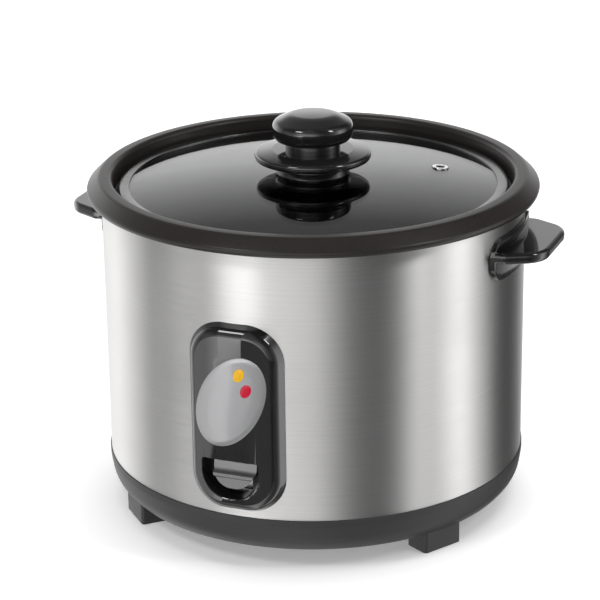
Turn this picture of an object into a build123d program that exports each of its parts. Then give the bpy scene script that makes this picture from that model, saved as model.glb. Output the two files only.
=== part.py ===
"""Electric rice cooker: steel body, lift-out coated pot, glass lid and a magnetic cook/warm switch.

Millimetres, +Z up. The origin is on the standing surface, under the middle of the round body.
The control panel faces -Y, the handles stand out along +X and -X, and the power inlet is at +Y.
"""

from build123d import *
import math
import os

# ---- Driving dimensions ---------------------------------------------------------------------

# round body
body_radius = 120.0  # outside of the steel wrap
wrap_wall = 0.8
wrap_height = 158.4  # from the base's ledge to the wrap's curled top
wrap_corner = 1.6
wrap_lip_gap = 1.5  # around the pot's shoulder, which the curled top centres

# moulded base
base_height = 20.6  # from its underside to the ledge that carries the wrap
base_wall = 2.5
base_proud = 0.6  # the base's top edge stands this far outside the wrap
base_undercut = 5.0  # how far the base's lower edge curves in
base_lip_height = 4.0  # the upstand inside the wrap
seat_gap = 0.3  # between parts that drop into or onto each other

# feet
foot_height = 11.0
foot_width = 26.0
foot_depth = 16.0
foot_inset = 6.0  # from the wrap's outside
foot_angle = 52.5  # from the front, and from the back
foot_turn = 6.5  # the four feet together are turned this much from the panel
foot_corner = 2.0

# liner that carries the heating plate
liner_room = 6.2  # between the wrap and the liner
liner_wall = 1.0
liner_drop = 11.5  # its flange below the wrap's top
liner_corner = 4.0
mechanism_room = 32.5  # free height between the base's floor and the liner
band_height = 17.0
band_thickness = 1.0
band_lift = 49.0  # its lower edge above the liner's bottom
band_opening = 44.0  # degrees left open at the front

# heating plate and its element
plate_inset = 17.0  # inside the pot's wall
plate_thickness = 12.0
plate_standoff = 7.0
plate_bore = 19.5
plate_edge = 3.0
element_inset = 31.0  # inside the plate's edge
element_tube_radius = 3.5
element_gap_angle = 40.0
element_pin_radius = 2.0
element_pin_length = 14.0

# pot
pot_room = 2.0  # between the pot's wall and the liner
pot_wall = 1.8
pot_seat_drop = 9.0  # middle of the lid seat's sheet below the wrap's top
pot_corner = 21.0
pot_seat_width = 5.4
pot_shoulder_height = 12.2  # from the lid seat to the rim's flat land
rim_crest_out = 0.8  # outer edge of the land, outside the wrap
rim_edge_out = 7.3  # outside the wrap
rim_edge_drop = 6.2  # from the land down to the edge
rim_curl = 0.8
rim_curl_drop = 1.9

# lid
lid_rim_gap = 3.9  # inside the pot's shoulder
lid_rim_band = 6.4
lid_rim_sheet = 0.6
glass_thickness = 3.4
glass_rise = 7.0
glass_edge_gap = 0.4
vent_inset = 36.3  # inside the glass's edge
vent_angle = 121.0  # from the front, towards +X
vent_bore = 3.4
vent_flange = 4.7
vent_flange_thickness = 0.8
vent_sheet = 0.8
vent_gap = 0.1

# knob
knob_base_radius = 21.0
knob_base_height = 6.6
guard_radius = 33.0
guard_thickness = 6.6
guard_top_radius = 23.0
guard_foot_width = 2.5
neck_radius = 15.5
neck_height = 6.7
cap_radius = 22.7
cap_height = 14.1
knob_screw_radius = 2.5
knob_screw_reach = 22.0
knob_screw_head = 5.0

# side handles
handle_drop = 25.5  # middle of the grip below the wrap's top
handle_plate_half_angle = 16.0
handle_plate_drop = 14.4  # plate's lower edge below the grip's middle
handle_plate_lift = 9.4  # plate's upper edge above the grip's middle
handle_plate_thickness = 2.4
handle_plate_corner = 9.0
grip_reach = 23.0  # beyond the steel wrap
grip_root = 34.0  # half width at the body
grip_tip = 24.0  # half width at the outer edge before rounding
grip_corner = 16.0
grip_thickness = 6.2
grip_edge = 2.2
grip_hollow = 3.4
grip_wall = 2.6
handle_screw_spread = 20.0

# control panel
panel_lift = 57.9  # its middle above the base's ledge
panel_height = 110.0  # height, width and corner are taken just under the wrap's surface
panel_width = 56.7
panel_corner = 22.0
panel_draft = 3.6  # the sides lean in this much, from the wrap to the face
panel_depth = 6.3
panel_wall = 2.2
badge_long = 28.2  # half axes of the oval plate
badge_short = 18.0
badge_tilt = 28.0
badge_shift = -0.8
badge_lift = 11.2  # above the panel's middle
badge_thickness = 1.0
badge_inset = 0.8
lens_long = 4.1
lens_short = 2.9
lens_proud = 0.5
lens_depth = 4.6
lens_gap = 0.1
warm_lens_shift = (4.7, 27.4)  # from the panel's middle
cook_lens_shift = (8.6, 18.7)
recess_width = 31.5
recess_shift = -2.0  # its middle beside the panel's middle
recess_drop = 24.1  # its top below the panel's middle
recess_height = 21.0
recess_depth = 11.4  # below the panel's face
recess_wall = 1.4
panel_screw_shifts = (-17.5, 44.5)
lamp_radius = 2.2
lamp_length = 6.4

# switch lever
lever_sheet = 1.5
lever_half_width = 6.0
lever_level = 33.0  # underside of its long arm
lever_travel_angle = 4.0
lever_reach = 34.0  # from the riser to the pivot
pivot_drop = 3.5  # pin's middle below the arm
pin_radius = 2.0
running_gap = 0.05  # radial, pin in the lever
lever_ear_half_width = 8.0
lever_ear_length = 10.0
lever_ear_drop = 7.0
riser_inset = 11.0  # from the wrap's outside to the riser
tongue_drop = 13.9  # below the recess's top
lever_tongue_reach = 8.5
fork_half_width = 3.0
fork_end = 8.0
bracket_half_width = 11.0
bracket_sheet = 1.5
bracket_length = 30.0
paddle_side_gap = 3.25  # between the paddle and the recess
paddle_lift = 0.75  # how much higher the paddle hangs than the middle of the recess
paddle_back_gap = 0.7

# thermostat
cap_disc_radius = 18.3
cap_disc_thickness = 1.5
cap_sheet = 1.0
cap_flange_radius = 24.0
cap_travel = 2.5
guide_radius = 14.0
guide_sheet = 0.8
guide_flange_radius = 27.0
guide_height = 13.0
magnet_radius = 12.0
magnet_bore = 5.5
magnet_thickness = 5.2
yoke_radius = 13.4
yoke_thickness = 1.5
rod_radius = 2.5
rod_length = 18.3
clip_radius = 6.0
clip_thickness = 1.5
clip_gap = 1.5

# micro switch
switch_arm = 14.0  # plunger ahead of the pivot
switch_depth = 7.0
switch_height = 10.0
plunger_radius = 1.5
plunger_gap = 0.05

# power inlet
inlet_lift = 16.4  # above the base's ledge
inlet_width = 27.0
inlet_height = 20.0
inlet_reach_in = 22.0
inlet_notch_reach = 37.0  # how far in from the wrap the liner is cut away
inlet_flange_width = 50.0
inlet_flange_height = 24.0
inlet_flange_thickness = 2.8
inlet_wall = 1.6
inlet_back = 4.0
inlet_pin_length = 13.0
inlet_tab_length = 5.0
inlet_pin_width = 2.0
inlet_pin_height = 4.0
inlet_pin_spread = 7.0
inlet_screw_spread = 20.0

# fixings and wiring
screw_radius = 1.6
screw_head_radius = 3.2
screw_head_height = 2.0
screw_clearance = 0.1
post_radius = 4.0
post_inset = 26.0  # inside the liner
spacer_inset = 17.0  # inside the plate's edge
wire_radius = 1.3

# ---- Heights and radii that follow ----------------------------------------------------------

base_bottom = foot_height
floor_top = base_bottom + base_wall
ledge = base_bottom + base_height
foot_outer_radius = body_radius - foot_inset
wrap_top = ledge + wrap_height
wrap_inner = body_radius - wrap_wall
liner_radius = wrap_inner - liner_room
liner_bottom = floor_top + mechanism_room
liner_floor = liner_bottom + liner_wall
liner_top = wrap_top - liner_drop
band_level = liner_bottom + band_lift + band_height / 2
plate_bottom = liner_floor + plate_standoff
plate_top = plate_bottom + plate_thickness
pot_radius = liner_radius - liner_wall - pot_room
plate_radius = pot_radius - plate_inset
element_ring_radius = plate_radius - element_inset
post_circle = liner_radius - post_inset
spacer_circle = plate_radius - spacer_inset
pot_bottom = plate_top + running_gap * 2
seat_middle = wrap_top - pot_seat_drop
seat_top = seat_middle + pot_wall / 2
shoulder_radius = pot_radius - pot_wall / 2 + pot_seat_width
rim_crest_radius = body_radius + rim_crest_out
rim_outer_radius = body_radius + rim_edge_out
lid_bottom = seat_top + seat_gap
lid_rim_radius = shoulder_radius - lid_rim_gap
glass_radius = lid_rim_radius - lid_rim_sheet - glass_edge_gap
glass_edge_bottom = lid_bottom + lid_rim_sheet
glass_edge_top = glass_edge_bottom + glass_thickness
glass_top = glass_edge_top + glass_rise
dome_radius = (glass_radius**2 + glass_rise**2) / (2 * glass_rise)
vent_radius = glass_radius - vent_inset
handle_level = wrap_top - handle_drop
panel_face = body_radius + panel_depth
panel_root_y = -body_radius + 1.5
panel_middle = ledge + panel_lift
panel_screw_levels = [panel_middle + shift for shift in panel_screw_shifts]
badge_level = panel_middle + badge_lift
warm_lens_place = (warm_lens_shift[0], panel_middle + warm_lens_shift[1])
cook_lens_place = (cook_lens_shift[0], panel_middle + cook_lens_shift[1])
recess_top = panel_middle - recess_drop
lever_tongue_level = recess_top - tongue_drop
lever_riser_y = -body_radius + riser_inset
pivot_y = lever_riser_y + lever_reach
pivot_level = lever_level - pivot_drop
fork_travel = -pivot_y * math.radians(lever_travel_angle)
inlet_level = ledge + inlet_lift
cap_top = pot_bottom - seat_gap
cap_under = cap_top - cap_disc_thickness
guide_bottom = liner_bottom - liner_wall
yoke_bottom = guide_bottom + liner_wall + seat_gap
magnet_bottom = yoke_bottom + yoke_thickness
magnet_top = magnet_bottom + magnet_thickness
ferrite_bottom = magnet_top + fork_travel + seat_gap


# ---- Shape helpers --------------------------------------------------------------------------


def outline(*corners):
    """A flat XY face through (x, y) corners; a third number rounds that corner."""
    edges = []
    ends = []
    count = len(corners)
    for i, corner in enumerate(corners):
        here = Vector(corner[0], corner[1])
        if len(corner) == 2 or corner[2] == 0:
            ends.append((here, here))
            continue
        radius = corner[2]
        back = (Vector(*corners[i - 1][:2]) - here).normalized()
        ahead = (Vector(*corners[(i + 1) % count][:2]) - here).normalized()
        half = math.radians(back.get_angle(ahead)) / 2
        start = here + back * (radius / math.tan(half))
        end = here + ahead * (radius / math.tan(half))
        middle = here + (back + ahead).normalized() * (radius / math.sin(half) - radius)
        edges.append(Edge.make_three_point_arc(start, middle, end))
        ends.append((start, end))
    for i in range(count):
        if (ends[i - 1][1] - ends[i][0]).length > 1e-6:
            edges.append(Edge.make_line(ends[i - 1][1], ends[i][0]))
    return make_face(edges)


def turned(*corners):
    """A solid turned about Z from (radius, height[, rounding]) corners."""
    return revolve(Plane.XZ * outline(*corners), Axis.Z)


def sheet_corners(path, wall):
    """Both faces of a bent sheet whose middle runs through (x, y[, bend radius]) points."""
    left = []
    right = []
    last = len(path) - 1
    for i, point in enumerate(path):
        here = Vector(*point[:2])
        before = Vector(*path[max(i - 1, 0)][:2])
        after = Vector(*path[min(i + 1, last)][:2])
        into = (here - before).normalized() if i > 0 else (after - here).normalized()
        out = (after - here).normalized() if i < last else into
        side = (Vector(-into.Y, into.X) + Vector(-out.Y, out.X)).normalized()
        reach = wall / 2 / side.dot(Vector(-out.Y, out.X))
        turn = into.X * out.Y - into.Y * out.X
        bend = point[2] if len(point) > 2 else 0
        inner = max(bend - wall / 2, 0)
        outer = bend + wall / 2 if bend else 0
        near = here + side * reach
        far = here - side * reach
        left.append((near.X, near.Y, inner if turn > 0 else outer))
        right.append((far.X, far.Y, outer if turn > 0 else inner))
    return left + right[::-1]


def spun_sheet(path, wall):
    """Sheet metal spun about Z."""
    return turned(*sheet_corners(path, wall))


def rod(radius, low, high, x=0.0, y=0.0):
    """An upright cylinder between two heights."""
    return Pos(x, y, low) * extrude(Circle(radius), high - low)


def rod_x(radius, low, high, y, z):
    """A cylinder along X."""
    return Pos(low, y, z) * Rot(0, 90, 0) * extrude(Circle(radius), high - low)


def rod_y(radius, low, high, x, z):
    """A cylinder along Y."""
    return Pos(x, low, z) * Rot(-90, 0, 0) * extrude(Circle(radius), high - low)


def block(x, y, z):
    """A box from three (low, high) pairs."""
    middle = Pos((x[0] + x[1]) / 2, (y[0] + y[1]) / 2, (z[0] + z[1]) / 2)
    return middle * Box(x[1] - x[0], y[1] - y[0], z[1] - z[0])


def ring(inner, outer, low, high):
    """An upright tube."""
    return rod(outer, low, high) - rod(inner, low, high)


def around(count, radius, first):
    """Places (x, y) evenly round a circle, from an angle about +X."""
    angles = [math.radians(first + 360 * i / count) for i in range(count)]
    return [(radius * math.cos(a), radius * math.sin(a)) for a in angles]


def rounded_slab(width, height, corner, y, middle):
    """A rounded rectangle that stands in the XZ plane at a given y, as a face."""
    face = RectangleRounded(width, height, corner)
    return Plane(origin=(0, y, middle), x_dir=(1, 0, 0), z_dir=(0, -1, 0)) * face


def oval_bar(long, short, tilt, place, low, high):
    """An oval bar along Y; positive tilt leans the top towards +X."""
    face = Rot(0, 0, 90 - tilt) * Ellipse(long, short)
    plane = Plane(origin=(place[0], high, place[1]), x_dir=(1, 0, 0), z_dir=(0, -1, 0))
    return extrude(plane * face, high - low)


def joined(parts):
    """Several separate solids as one group."""
    return Compound(children=list(parts))


def fused(parts):
    """One solid from pieces that touch or overlap."""
    whole = parts[0]
    for piece in parts[1:]:
        whole = whole + piece
    return whole


def screw_up(x, y, head_bottom, length, radius=screw_radius):
    """A pan-head screw that points up."""
    head = rod(screw_head_radius, head_bottom, head_bottom + screw_head_height, x, y)
    return head + rod(radius, head_bottom + screw_head_height - 0.1, head_bottom + length, x, y)


def lead(points):
    """A round wire along straight runs, each corner bent as widely as its runs allow."""
    places = [Vector(*p) for p in points]
    radii = []
    for i in range(1, len(places) - 1):
        into = places[i] - places[i - 1]
        out = places[i + 1] - places[i]
        turn = math.radians(into.get_angle(out))
        radii.append(0.45 * min(into.length, out.length) / math.tan(turn / 2))
    path = FilletPolyline(*places, radius=radii)
    start = Plane(origin=path @ 0, z_dir=path % 0)
    wire = sweep(start * Circle(wire_radius), path=path)
    print("  wire bends", [round(r, 1) for r in radii], "length", round(path.length, 1))
    print("  wire volume over section times length", round(wire.volume / (
        math.pi * wire_radius**2 * path.length), 4))
    return wire


def coil_spring(middle_radius, wire, low, high, turns):
    """An open compression spring."""
    bottom = low + wire
    rise = high - low - 2 * wire
    path = Helix(pitch=rise / turns, height=rise, radius=middle_radius)
    start = Plane(origin=path @ 0, z_dir=path % 0)
    return Pos(0, 0, bottom) * sweep(start * Circle(wire), path=path, is_frenet=True)


# ---- Body -----------------------------------------------------------------------------------


def inlet_screw_places():
    return [(-inlet_screw_spread, inlet_level), (inlet_screw_spread, inlet_level)]


def handle_screw_places():
    return [-handle_screw_spread, handle_screw_spread]


def recess_shape(grow, low, high):
    """The lever recess: flat top, half-round bottom, as a bar along Y."""
    half = recess_width / 2 + grow
    top = recess_top + grow
    bottom = recess_top - recess_height - grow
    round_off = min(half, top - bottom) * 0.9
    corner = 1.5
    face = outline((-half, top, corner), (-half, bottom, round_off), (half, bottom, round_off),
                   (half, top, corner))
    plane = Plane(origin=(recess_shift, high, 0), x_dir=(1, 0, 0), z_dir=(0, -1, 0))
    return extrude(plane * face, high - low)


def lamp_window(grow, low, high):
    """The square way that the lamp holder takes through the wrap."""
    left = min(warm_lens_place[0], cook_lens_place[0]) - lens_long - 2.5 - grow
    right = max(warm_lens_place[0], cook_lens_place[0]) + lens_long + 2.5 + grow
    bottom = min(warm_lens_place[1], cook_lens_place[1]) - lens_long - 2.0 - grow
    top = max(warm_lens_place[1], cook_lens_place[1]) + lens_long + 2.0 + grow
    return block((left, right), (low, high), (bottom, top))


def make_outer_shell():
    """Brushed steel wrap with a curled top and its cut-outs."""
    middle = body_radius - wrap_wall / 2
    curl = shoulder_radius + pot_wall / 2 + wrap_lip_gap
    wrap = spun_sheet([(middle, ledge), (middle, wrap_top, wrap_corner), (curl, wrap_top)], wrap_wall)
    front = -body_radius - 5
    wrap -= recess_shape(recess_wall + seat_gap, front, -body_radius + 15)
    wrap -= lamp_window(seat_gap, front, -body_radius + 15)
    for level in panel_screw_levels:
        wrap -= rod_y(screw_radius + screw_clearance, front, -body_radius + 15, 0, level)
    back = body_radius + 5
    half_wide = inlet_width / 2 + seat_gap
    half_high = inlet_height / 2 + seat_gap
    wrap -= block((-half_wide, half_wide), (body_radius - 15, back),
                  (inlet_level - half_high, inlet_level + half_high))
    for x, z in inlet_screw_places():
        wrap -= rod_y(screw_radius + screw_clearance, body_radius - 15, back, x, z)
    for y in handle_screw_places():
        wrap -= rod_x(screw_radius + screw_clearance, -back, back, y, handle_level)
    return wrap


def make_base_pan():
    """Moulded floor and curved skirt, with an upstand inside the wrap."""
    outer = body_radius + base_proud
    lip_outer = wrap_inner - seat_gap
    lip_inner = lip_outer - base_wall * 0.6
    low_outer = outer - base_undercut
    pan = turned(
        (0, base_bottom), (low_outer - 2, base_bottom, 3.0), (low_outer + 3.4, base_bottom + 6.5, 14.0),
        (outer, ledge - 4, 3.0), (outer, ledge, 0.4), (lip_outer, ledge),
        (lip_outer, ledge + base_lip_height), (lip_inner, ledge + base_lip_height),
        (lip_inner, ledge - 1, 1.0), (lip_inner - 2.0, floor_top + 3, 2.0), (lip_inner - 5, floor_top, 1.0),
        (0, floor_top))
    for x, y in around(4, post_circle, 45):
        pan -= rod(screw_radius + screw_clearance, base_bottom - 1, floor_top + 1, x, y)
    for turn in range(0, 360, 15):
        slot = block((34, 52), (-1.5, 1.5), (base_bottom - 1, floor_top + 1))
        pan -= Rot(0, 0, turn + 7.5) * slot
    for angle in foot_angles():
        pan -= Rot(0, 0, angle) * rod(screw_radius, base_bottom - 1, floor_top + 1, foot_middle_radius())
    return pan


def foot_angles():
    """Angles about +X of the four feet, front left first."""
    angles = [-90 - foot_angle, -90 + foot_angle, 90 + foot_angle, 90 - foot_angle]
    return [angle + foot_turn for angle in angles]


def foot_middle_radius():
    return foot_outer_radius - foot_depth / 2 - 2


def make_foot(angle):
    """A block that hugs the base's rounded edge."""
    foot = block((foot_outer_radius - foot_depth, foot_outer_radius),
                 (-foot_width / 2, foot_width / 2), (0, base_bottom + 5))
    upright = foot.edges().filter_by(Axis.Z)
    foot = fillet(upright, foot_corner)
    foot = chamfer(foot.faces().sort_by(Axis.Z)[0].edges(), 0.6)
    under = turned((0, base_bottom), (body_radius + base_proud - base_undercut - 2, base_bottom, 3.0),
                   (body_radius + base_proud - base_undercut + 3.4, base_bottom + 6.5, 14.0),
                   (body_radius + base_proud, ledge - 4, 3.0), (body_radius + base_proud, ledge), (0, ledge))
    foot -= under
    foot -= rod(screw_radius, base_bottom - 7, base_bottom + 6, foot_middle_radius())
    foot -= rod(screw_head_radius + 0.4, -1, base_bottom - 7 + 0.1, foot_middle_radius())
    return Rot(0, 0, angle) * foot


def make_foot_screws():
    """One screw up through each foot into the floor."""
    head = base_bottom - 7 - screw_head_height
    screws = []
    for angle in foot_angles():
        screws.append(Rot(0, 0, angle) * screw_up(foot_middle_radius(), 0, head, 10.5))
    return joined(screws)


def make_liner():
    """Deep-drawn inner casing, open at the switch lever and at the power inlet."""
    middle = liner_radius - liner_wall / 2
    flange = wrap_inner
    level = liner_bottom + liner_wall / 2
    liner = spun_sheet([(0, level), (middle, level, liner_corner),
                        (middle, liner_top, 1.5), (flange, liner_top)], liner_wall)
    liner -= rod(guide_radius + guide_sheet + seat_gap, liner_bottom - 1, liner_floor + 1)
    notch = lever_half_width + 2.5
    liner -= block((-notch, notch), (-liner_radius - 1, lever_riser_y + 5),
                   (liner_bottom - 1, lever_tongue_level + 5.5))
    inlet_notch = inlet_width / 2 + 3
    liner -= block((-inlet_notch, inlet_notch), (body_radius - inlet_notch_reach, liner_radius + 1),
                   (liner_bottom - 1, inlet_level + inlet_height / 2 + 3))
    for x, y in around(3, spacer_circle, 90):
        liner -= rod(screw_radius + screw_clearance, liner_bottom - 1, liner_floor + 1, x, y)
    for x, y in bracket_screw_places():
        liner -= rod(screw_radius, liner_bottom - 1, liner_floor + 1, x, y)
    for x, y in element_ends():
        liner -= rod(element_pin_radius + 1.5, liner_bottom - 1, liner_floor + 1, x, y)
    return liner


def make_base_posts():
    """Tubes between the base's floor and the liner."""
    posts = []
    for x, y in around(4, post_circle, 45):
        post = rod(post_radius, floor_top, liner_bottom, x, y)
        posts.append(post - rod(screw_radius, floor_top - 1, floor_top + 14, x, y))
    return joined(posts)


def make_base_screws():
    places = around(4, post_circle, 45)
    return joined([screw_up(x, y, base_bottom - screw_head_height, 14) for x, y in places])


# ---- Handles --------------------------------------------------------------------------------


def make_handle():
    """Right handle: a curved plate on the wrap and a flat grip, hollow underneath."""
    low = handle_level - handle_plate_drop
    high = handle_level + handle_plate_lift
    half = body_radius * math.sin(math.radians(handle_plate_half_angle))
    face = RectangleRounded(2 * half, high - low, handle_plate_corner)
    plane = Plane(origin=(body_radius - 25, 0, (low + high) / 2), x_dir=(0, 1, 0), z_dir=(1, 0, 0))
    plate = extrude(plane * face, 50)
    plate &= ring(body_radius, body_radius + handle_plate_thickness, low - 1, high + 1)
    tip = body_radius + grip_reach
    inside = body_radius - 15
    top = outline((inside, -grip_root), (body_radius + 3, -grip_root, 5), (tip, -grip_tip, grip_corner),
                  (tip, grip_tip, grip_corner), (body_radius + 3, grip_root, 5), (inside, grip_root))
    grip = Pos(0, 0, handle_level - grip_thickness / 2) * extrude(top, grip_thickness)
    flat_edges = grip.edges().filter_by(lambda e: abs(e.center().X - inside) > 1)
    level_edges = flat_edges.filter_by(lambda e: abs(e.tangent_at(0.5).Z) < 0.01)
    grip = fillet(level_edges, grip_edge)
    pocket_low = body_radius + handle_plate_thickness + 8.5
    pocket = outline((pocket_low, -grip_root + 8, 3), (tip - grip_wall, -grip_tip + 5, grip_corner - 6),
                     (tip - grip_wall, grip_tip - 5, grip_corner - 6), (pocket_low, grip_root - 8, 3))
    grip -= Pos(0, 0, handle_level - grip_thickness / 2 - 1) * extrude(pocket, grip_hollow + 1)
    handle = grip - rod(body_radius, low - 5, high + 5) + plate
    for y in handle_screw_places():
        handle -= rod_x(screw_radius, body_radius - 15, body_radius + 9, y, handle_level)
    return handle


def make_handle_screws():
    """Two screws for each handle, driven from inside the wrap."""
    y = handle_screw_spread
    seat = math.sqrt(wrap_inner**2 - (y + screw_head_radius) ** 2)
    screws = []
    for turn in (0, 180):
        for side in (-y, y):
            head = rod_x(screw_head_radius, seat - screw_head_height, seat, side, handle_level)
            shank = rod_x(screw_radius, seat - 0.5, body_radius + 8.5, side, handle_level)
            screws.append(Rot(0, 0, turn) * (head + shank))
    return joined(screws)


# ---- Control panel --------------------------------------------------------------------------


def panel_block(shrink, depth):
    """The panel's tapered block, reduced all round and stopped at a depth outside the wrap."""
    sections = []
    for y in (-body_radius + 9, -panel_face - 1):
        inset = shrink + panel_draft / panel_depth * (panel_root_y - y)
        sections.append(rounded_slab(panel_width - 2 * inset, panel_height - 2 * inset,
                                     panel_corner - inset, y, panel_middle))
    low = panel_middle - panel_height
    high = panel_middle + panel_height
    return loft(sections) & ring(body_radius, body_radius + depth, low, high)


def make_panel():
    """Hollow moulded panel with the lever recess, the oval seat and two screw bosses."""
    panel = panel_block(0, panel_depth) - panel_block(panel_wall, panel_depth - panel_wall)
    outside = rod(panel_face, recess_top - recess_height - 10, recess_top + 10)
    depth_y = -panel_face + recess_depth
    cup = recess_shape(recess_wall, -panel_face - 2, depth_y + recess_wall) & outside
    panel = panel + cup
    panel -= recess_shape(0, -panel_face - 5, depth_y)
    slot = lever_half_width + 0.9
    drop = switch_to_paddle_drop()
    panel -= block((-slot, slot), (depth_y - 1, depth_y + recess_wall + 1),
                   (lever_tongue_level - drop - 0.8, lever_tongue_level + lever_sheet + 0.6))
    for level in panel_screw_levels:
        boss = rod_y(screw_radius + 1.8, -panel_face + 1, -body_radius + 5, 0, level)
        panel += boss & ring(body_radius, panel_face - 1, level - 10, level + 10)
        panel -= rod_y(screw_radius, -panel_face + 2.2, -body_radius + 10, 0, level)
    seat = oval_bar(badge_long + lens_gap, badge_short + lens_gap, badge_tilt, (badge_shift, badge_level),
                    -panel_face - 5, -panel_face + 20)
    panel -= seat & ring(panel_face - badge_inset, panel_face + 5, ledge, wrap_top)
    for place in (warm_lens_place, cook_lens_place):
        panel -= lens_bar(lens_gap, place, -panel_face - 5, -body_radius + 5)
    return panel


def switch_to_paddle_drop():
    """How far the paddle sinks when it is pressed."""
    return (-panel_face + recess_depth - pivot_y) * -math.radians(lever_travel_angle)


def lens_bar(grow, place, low, high):
    return oval_bar(lens_long + grow, lens_short + grow, badge_tilt, place, low, high)


def make_badge():
    """Oval silver plate in its seat."""
    oval = oval_bar(badge_long, badge_short, badge_tilt, (badge_shift, badge_level),
                    -panel_face - 5, -panel_face + 20)
    low = panel_face - badge_inset
    plate = oval & ring(low, low + badge_thickness, ledge, wrap_top)
    for place in (warm_lens_place, cook_lens_place):
        plate -= lens_bar(lens_gap, place, -panel_face - 5, -body_radius + 5)
    return plate


def make_lens(place):
    """Domed oval light pipe through the plate and the panel."""
    face_y = -math.sqrt((panel_face + lens_proud) ** 2 - place[0] ** 2)
    lens = lens_bar(0, place, face_y, face_y + lens_depth)
    front = lens.faces().sort_by(Axis.Y)[0]
    return fillet(front.edges(), 0.45)


def make_lamp_holder():
    """Block that holds the two lamps behind their lenses."""
    front = -panel_face + panel_wall + 0.3 + (panel_face - body_radius) * 0.1
    lens_back = -panel_face + lens_depth
    holder = lamp_window(0, min(front, lens_back) + 0.6, -wrap_inner + lamp_length - 3.0)
    for place in (warm_lens_place, cook_lens_place):
        holder -= lens_bar(0.2, place, -panel_face, lens_back + 0.7)
        holder -= rod_y(lamp_radius + 0.1, -panel_face, 0, *place)
    return holder


def make_lamp(place):
    """Small neon lamp with a rounded nose."""
    nose = -panel_face + lens_depth + 0.6
    lamp = rod_y(lamp_radius, nose, nose + lamp_length, *place)
    return fillet(lamp.faces().sort_by(Axis.Y)[0].edges(), lamp_radius * 0.8)


def make_panel_screws():
    screws = []
    seat = -math.sqrt(wrap_inner**2 - screw_head_radius**2)
    for level in panel_screw_levels:
        head = rod_y(screw_head_radius, seat, seat + screw_head_height, 0, level)
        shank = rod_y(screw_radius, -panel_face + 2.7, seat + 0.5, 0, level)
        screws.append(head + shank)
    return joined(screws)


# ---- Heating plate --------------------------------------------------------------------------


def element_ends():
    """Where the element's two cold pins turn down, as (x, y)."""
    half = element_gap_angle / 2
    places = []
    for angle in (90 - half, 90 + half):
        a = math.radians(angle)
        places.append((element_ring_radius * math.cos(a), element_ring_radius * math.sin(a)))
    return places


def element_ring(tube):
    """The element's open ring; the gap faces the inlet."""
    section = Plane.XZ * (Pos(element_ring_radius, plate_bottom) * Circle(tube))
    bend = revolve(section, Axis.Z, 360 - element_gap_angle)
    return Rot(0, 0, 90 + element_gap_angle / 2) * bend


def make_heating_plate():
    """Cast disc with a bore for the thermostat and a groove for the element."""
    plate = turned((plate_bore, plate_bottom), (plate_radius, plate_bottom, 1.0),
                   (plate_radius, plate_top, plate_edge), (plate_bore, plate_top, 0.8))
    plate -= element_ring(element_tube_radius)
    for x, y in element_ends():
        plate -= rod(element_tube_radius, plate_bottom - 1, plate_bottom + element_tube_radius, x, y)
    for x, y in around(3, spacer_circle, 90):
        plate -= rod(screw_radius, plate_bottom - 1, plate_bottom + 7, x, y)
    return plate


def make_element():
    """Sheathed heating tube with two pins that turn down to the wiring."""
    tube = element_ring(element_tube_radius)
    for x, y in element_ends():
        low = plate_bottom - element_pin_length
        tube += rod(element_pin_radius, low, plate_bottom, x, y)
    return tube


def make_spacers():
    spacers = []
    for x, y in around(3, spacer_circle, 90):
        hole = rod(screw_radius + screw_clearance, liner_floor - 1, plate_bottom + 1, x, y)
        spacers.append(rod(post_radius, liner_floor, plate_bottom, x, y) - hole)
    return joined(spacers)


def make_plate_screws():
    places = around(3, spacer_circle, 90)
    length = screw_head_height + liner_wall + plate_standoff + 6
    return joined([screw_up(x, y, liner_bottom - screw_head_height, length) for x, y in places])


def make_warm_band():
    """Keep-warm heating band round the liner, open at the front."""
    section = Pos(liner_radius + band_thickness / 2, band_level) * Rectangle(band_thickness, band_height)
    band = revolve(Plane.XZ * section, Axis.Z, 360 - band_opening)
    return Rot(0, 0, -90 + band_opening / 2) * band


def fuse_place():
    return 42.0, -12.0


def make_thermal_fuse():
    """Sleeved one-shot fuse against the plate's underside."""
    x, y = fuse_place()
    return rod_y(2.4, y - 13, y + 13, x, plate_bottom - 2.6)


def make_fuse_clip():
    """Strap that holds the fuse to the plate."""
    x, y = fuse_place()
    level = plate_bottom - 2.6
    strap = rod_y(3.2, y - 4, y + 4, x, level)
    strap += block((x - 3.2, x + 3.2), (y - 4, y + 4), (level, plate_bottom - 0.1))
    strap += block((x - 9, x + 9), (y - 4, y + 4), (plate_bottom - 1.0, plate_bottom))
    strap -= rod_y(2.5, y - 5, y + 5, x, level)
    return strap - block((x - 2.5, x + 2.5), (y - 5, y + 5), (level, plate_bottom + 1))


# ---- Thermostat -----------------------------------------------------------------------------


def make_sensor_guide():
    """Fixed tube with a floor, where the magnet slides."""
    middle = guide_radius + guide_sheet / 2
    tube = ring(guide_radius, guide_radius + guide_sheet, guide_bottom, liner_floor + guide_height)
    floor = ring(rod_radius + 0.9, middle, guide_bottom, guide_bottom + liner_wall)
    flange = ring(middle, guide_flange_radius, liner_floor, liner_floor + liner_wall)
    return fused([tube, floor, flange])


def make_sensor_cap():
    """Cup that touches the pot; its lower flange stops it under the heating plate."""
    inner = cap_disc_radius - cap_sheet
    flange_top = plate_bottom - cap_travel - seat_gap
    return turned((0, cap_top), (cap_disc_radius, cap_top, 1.4), (cap_disc_radius, flange_top),
                  (cap_flange_radius, flange_top), (cap_flange_radius, flange_top - cap_sheet),
                  (inner, flange_top - cap_sheet), (inner, cap_under), (0, cap_under))


def make_ferrite():
    return ring(magnet_bore, magnet_radius, ferrite_bottom, cap_under)


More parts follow.
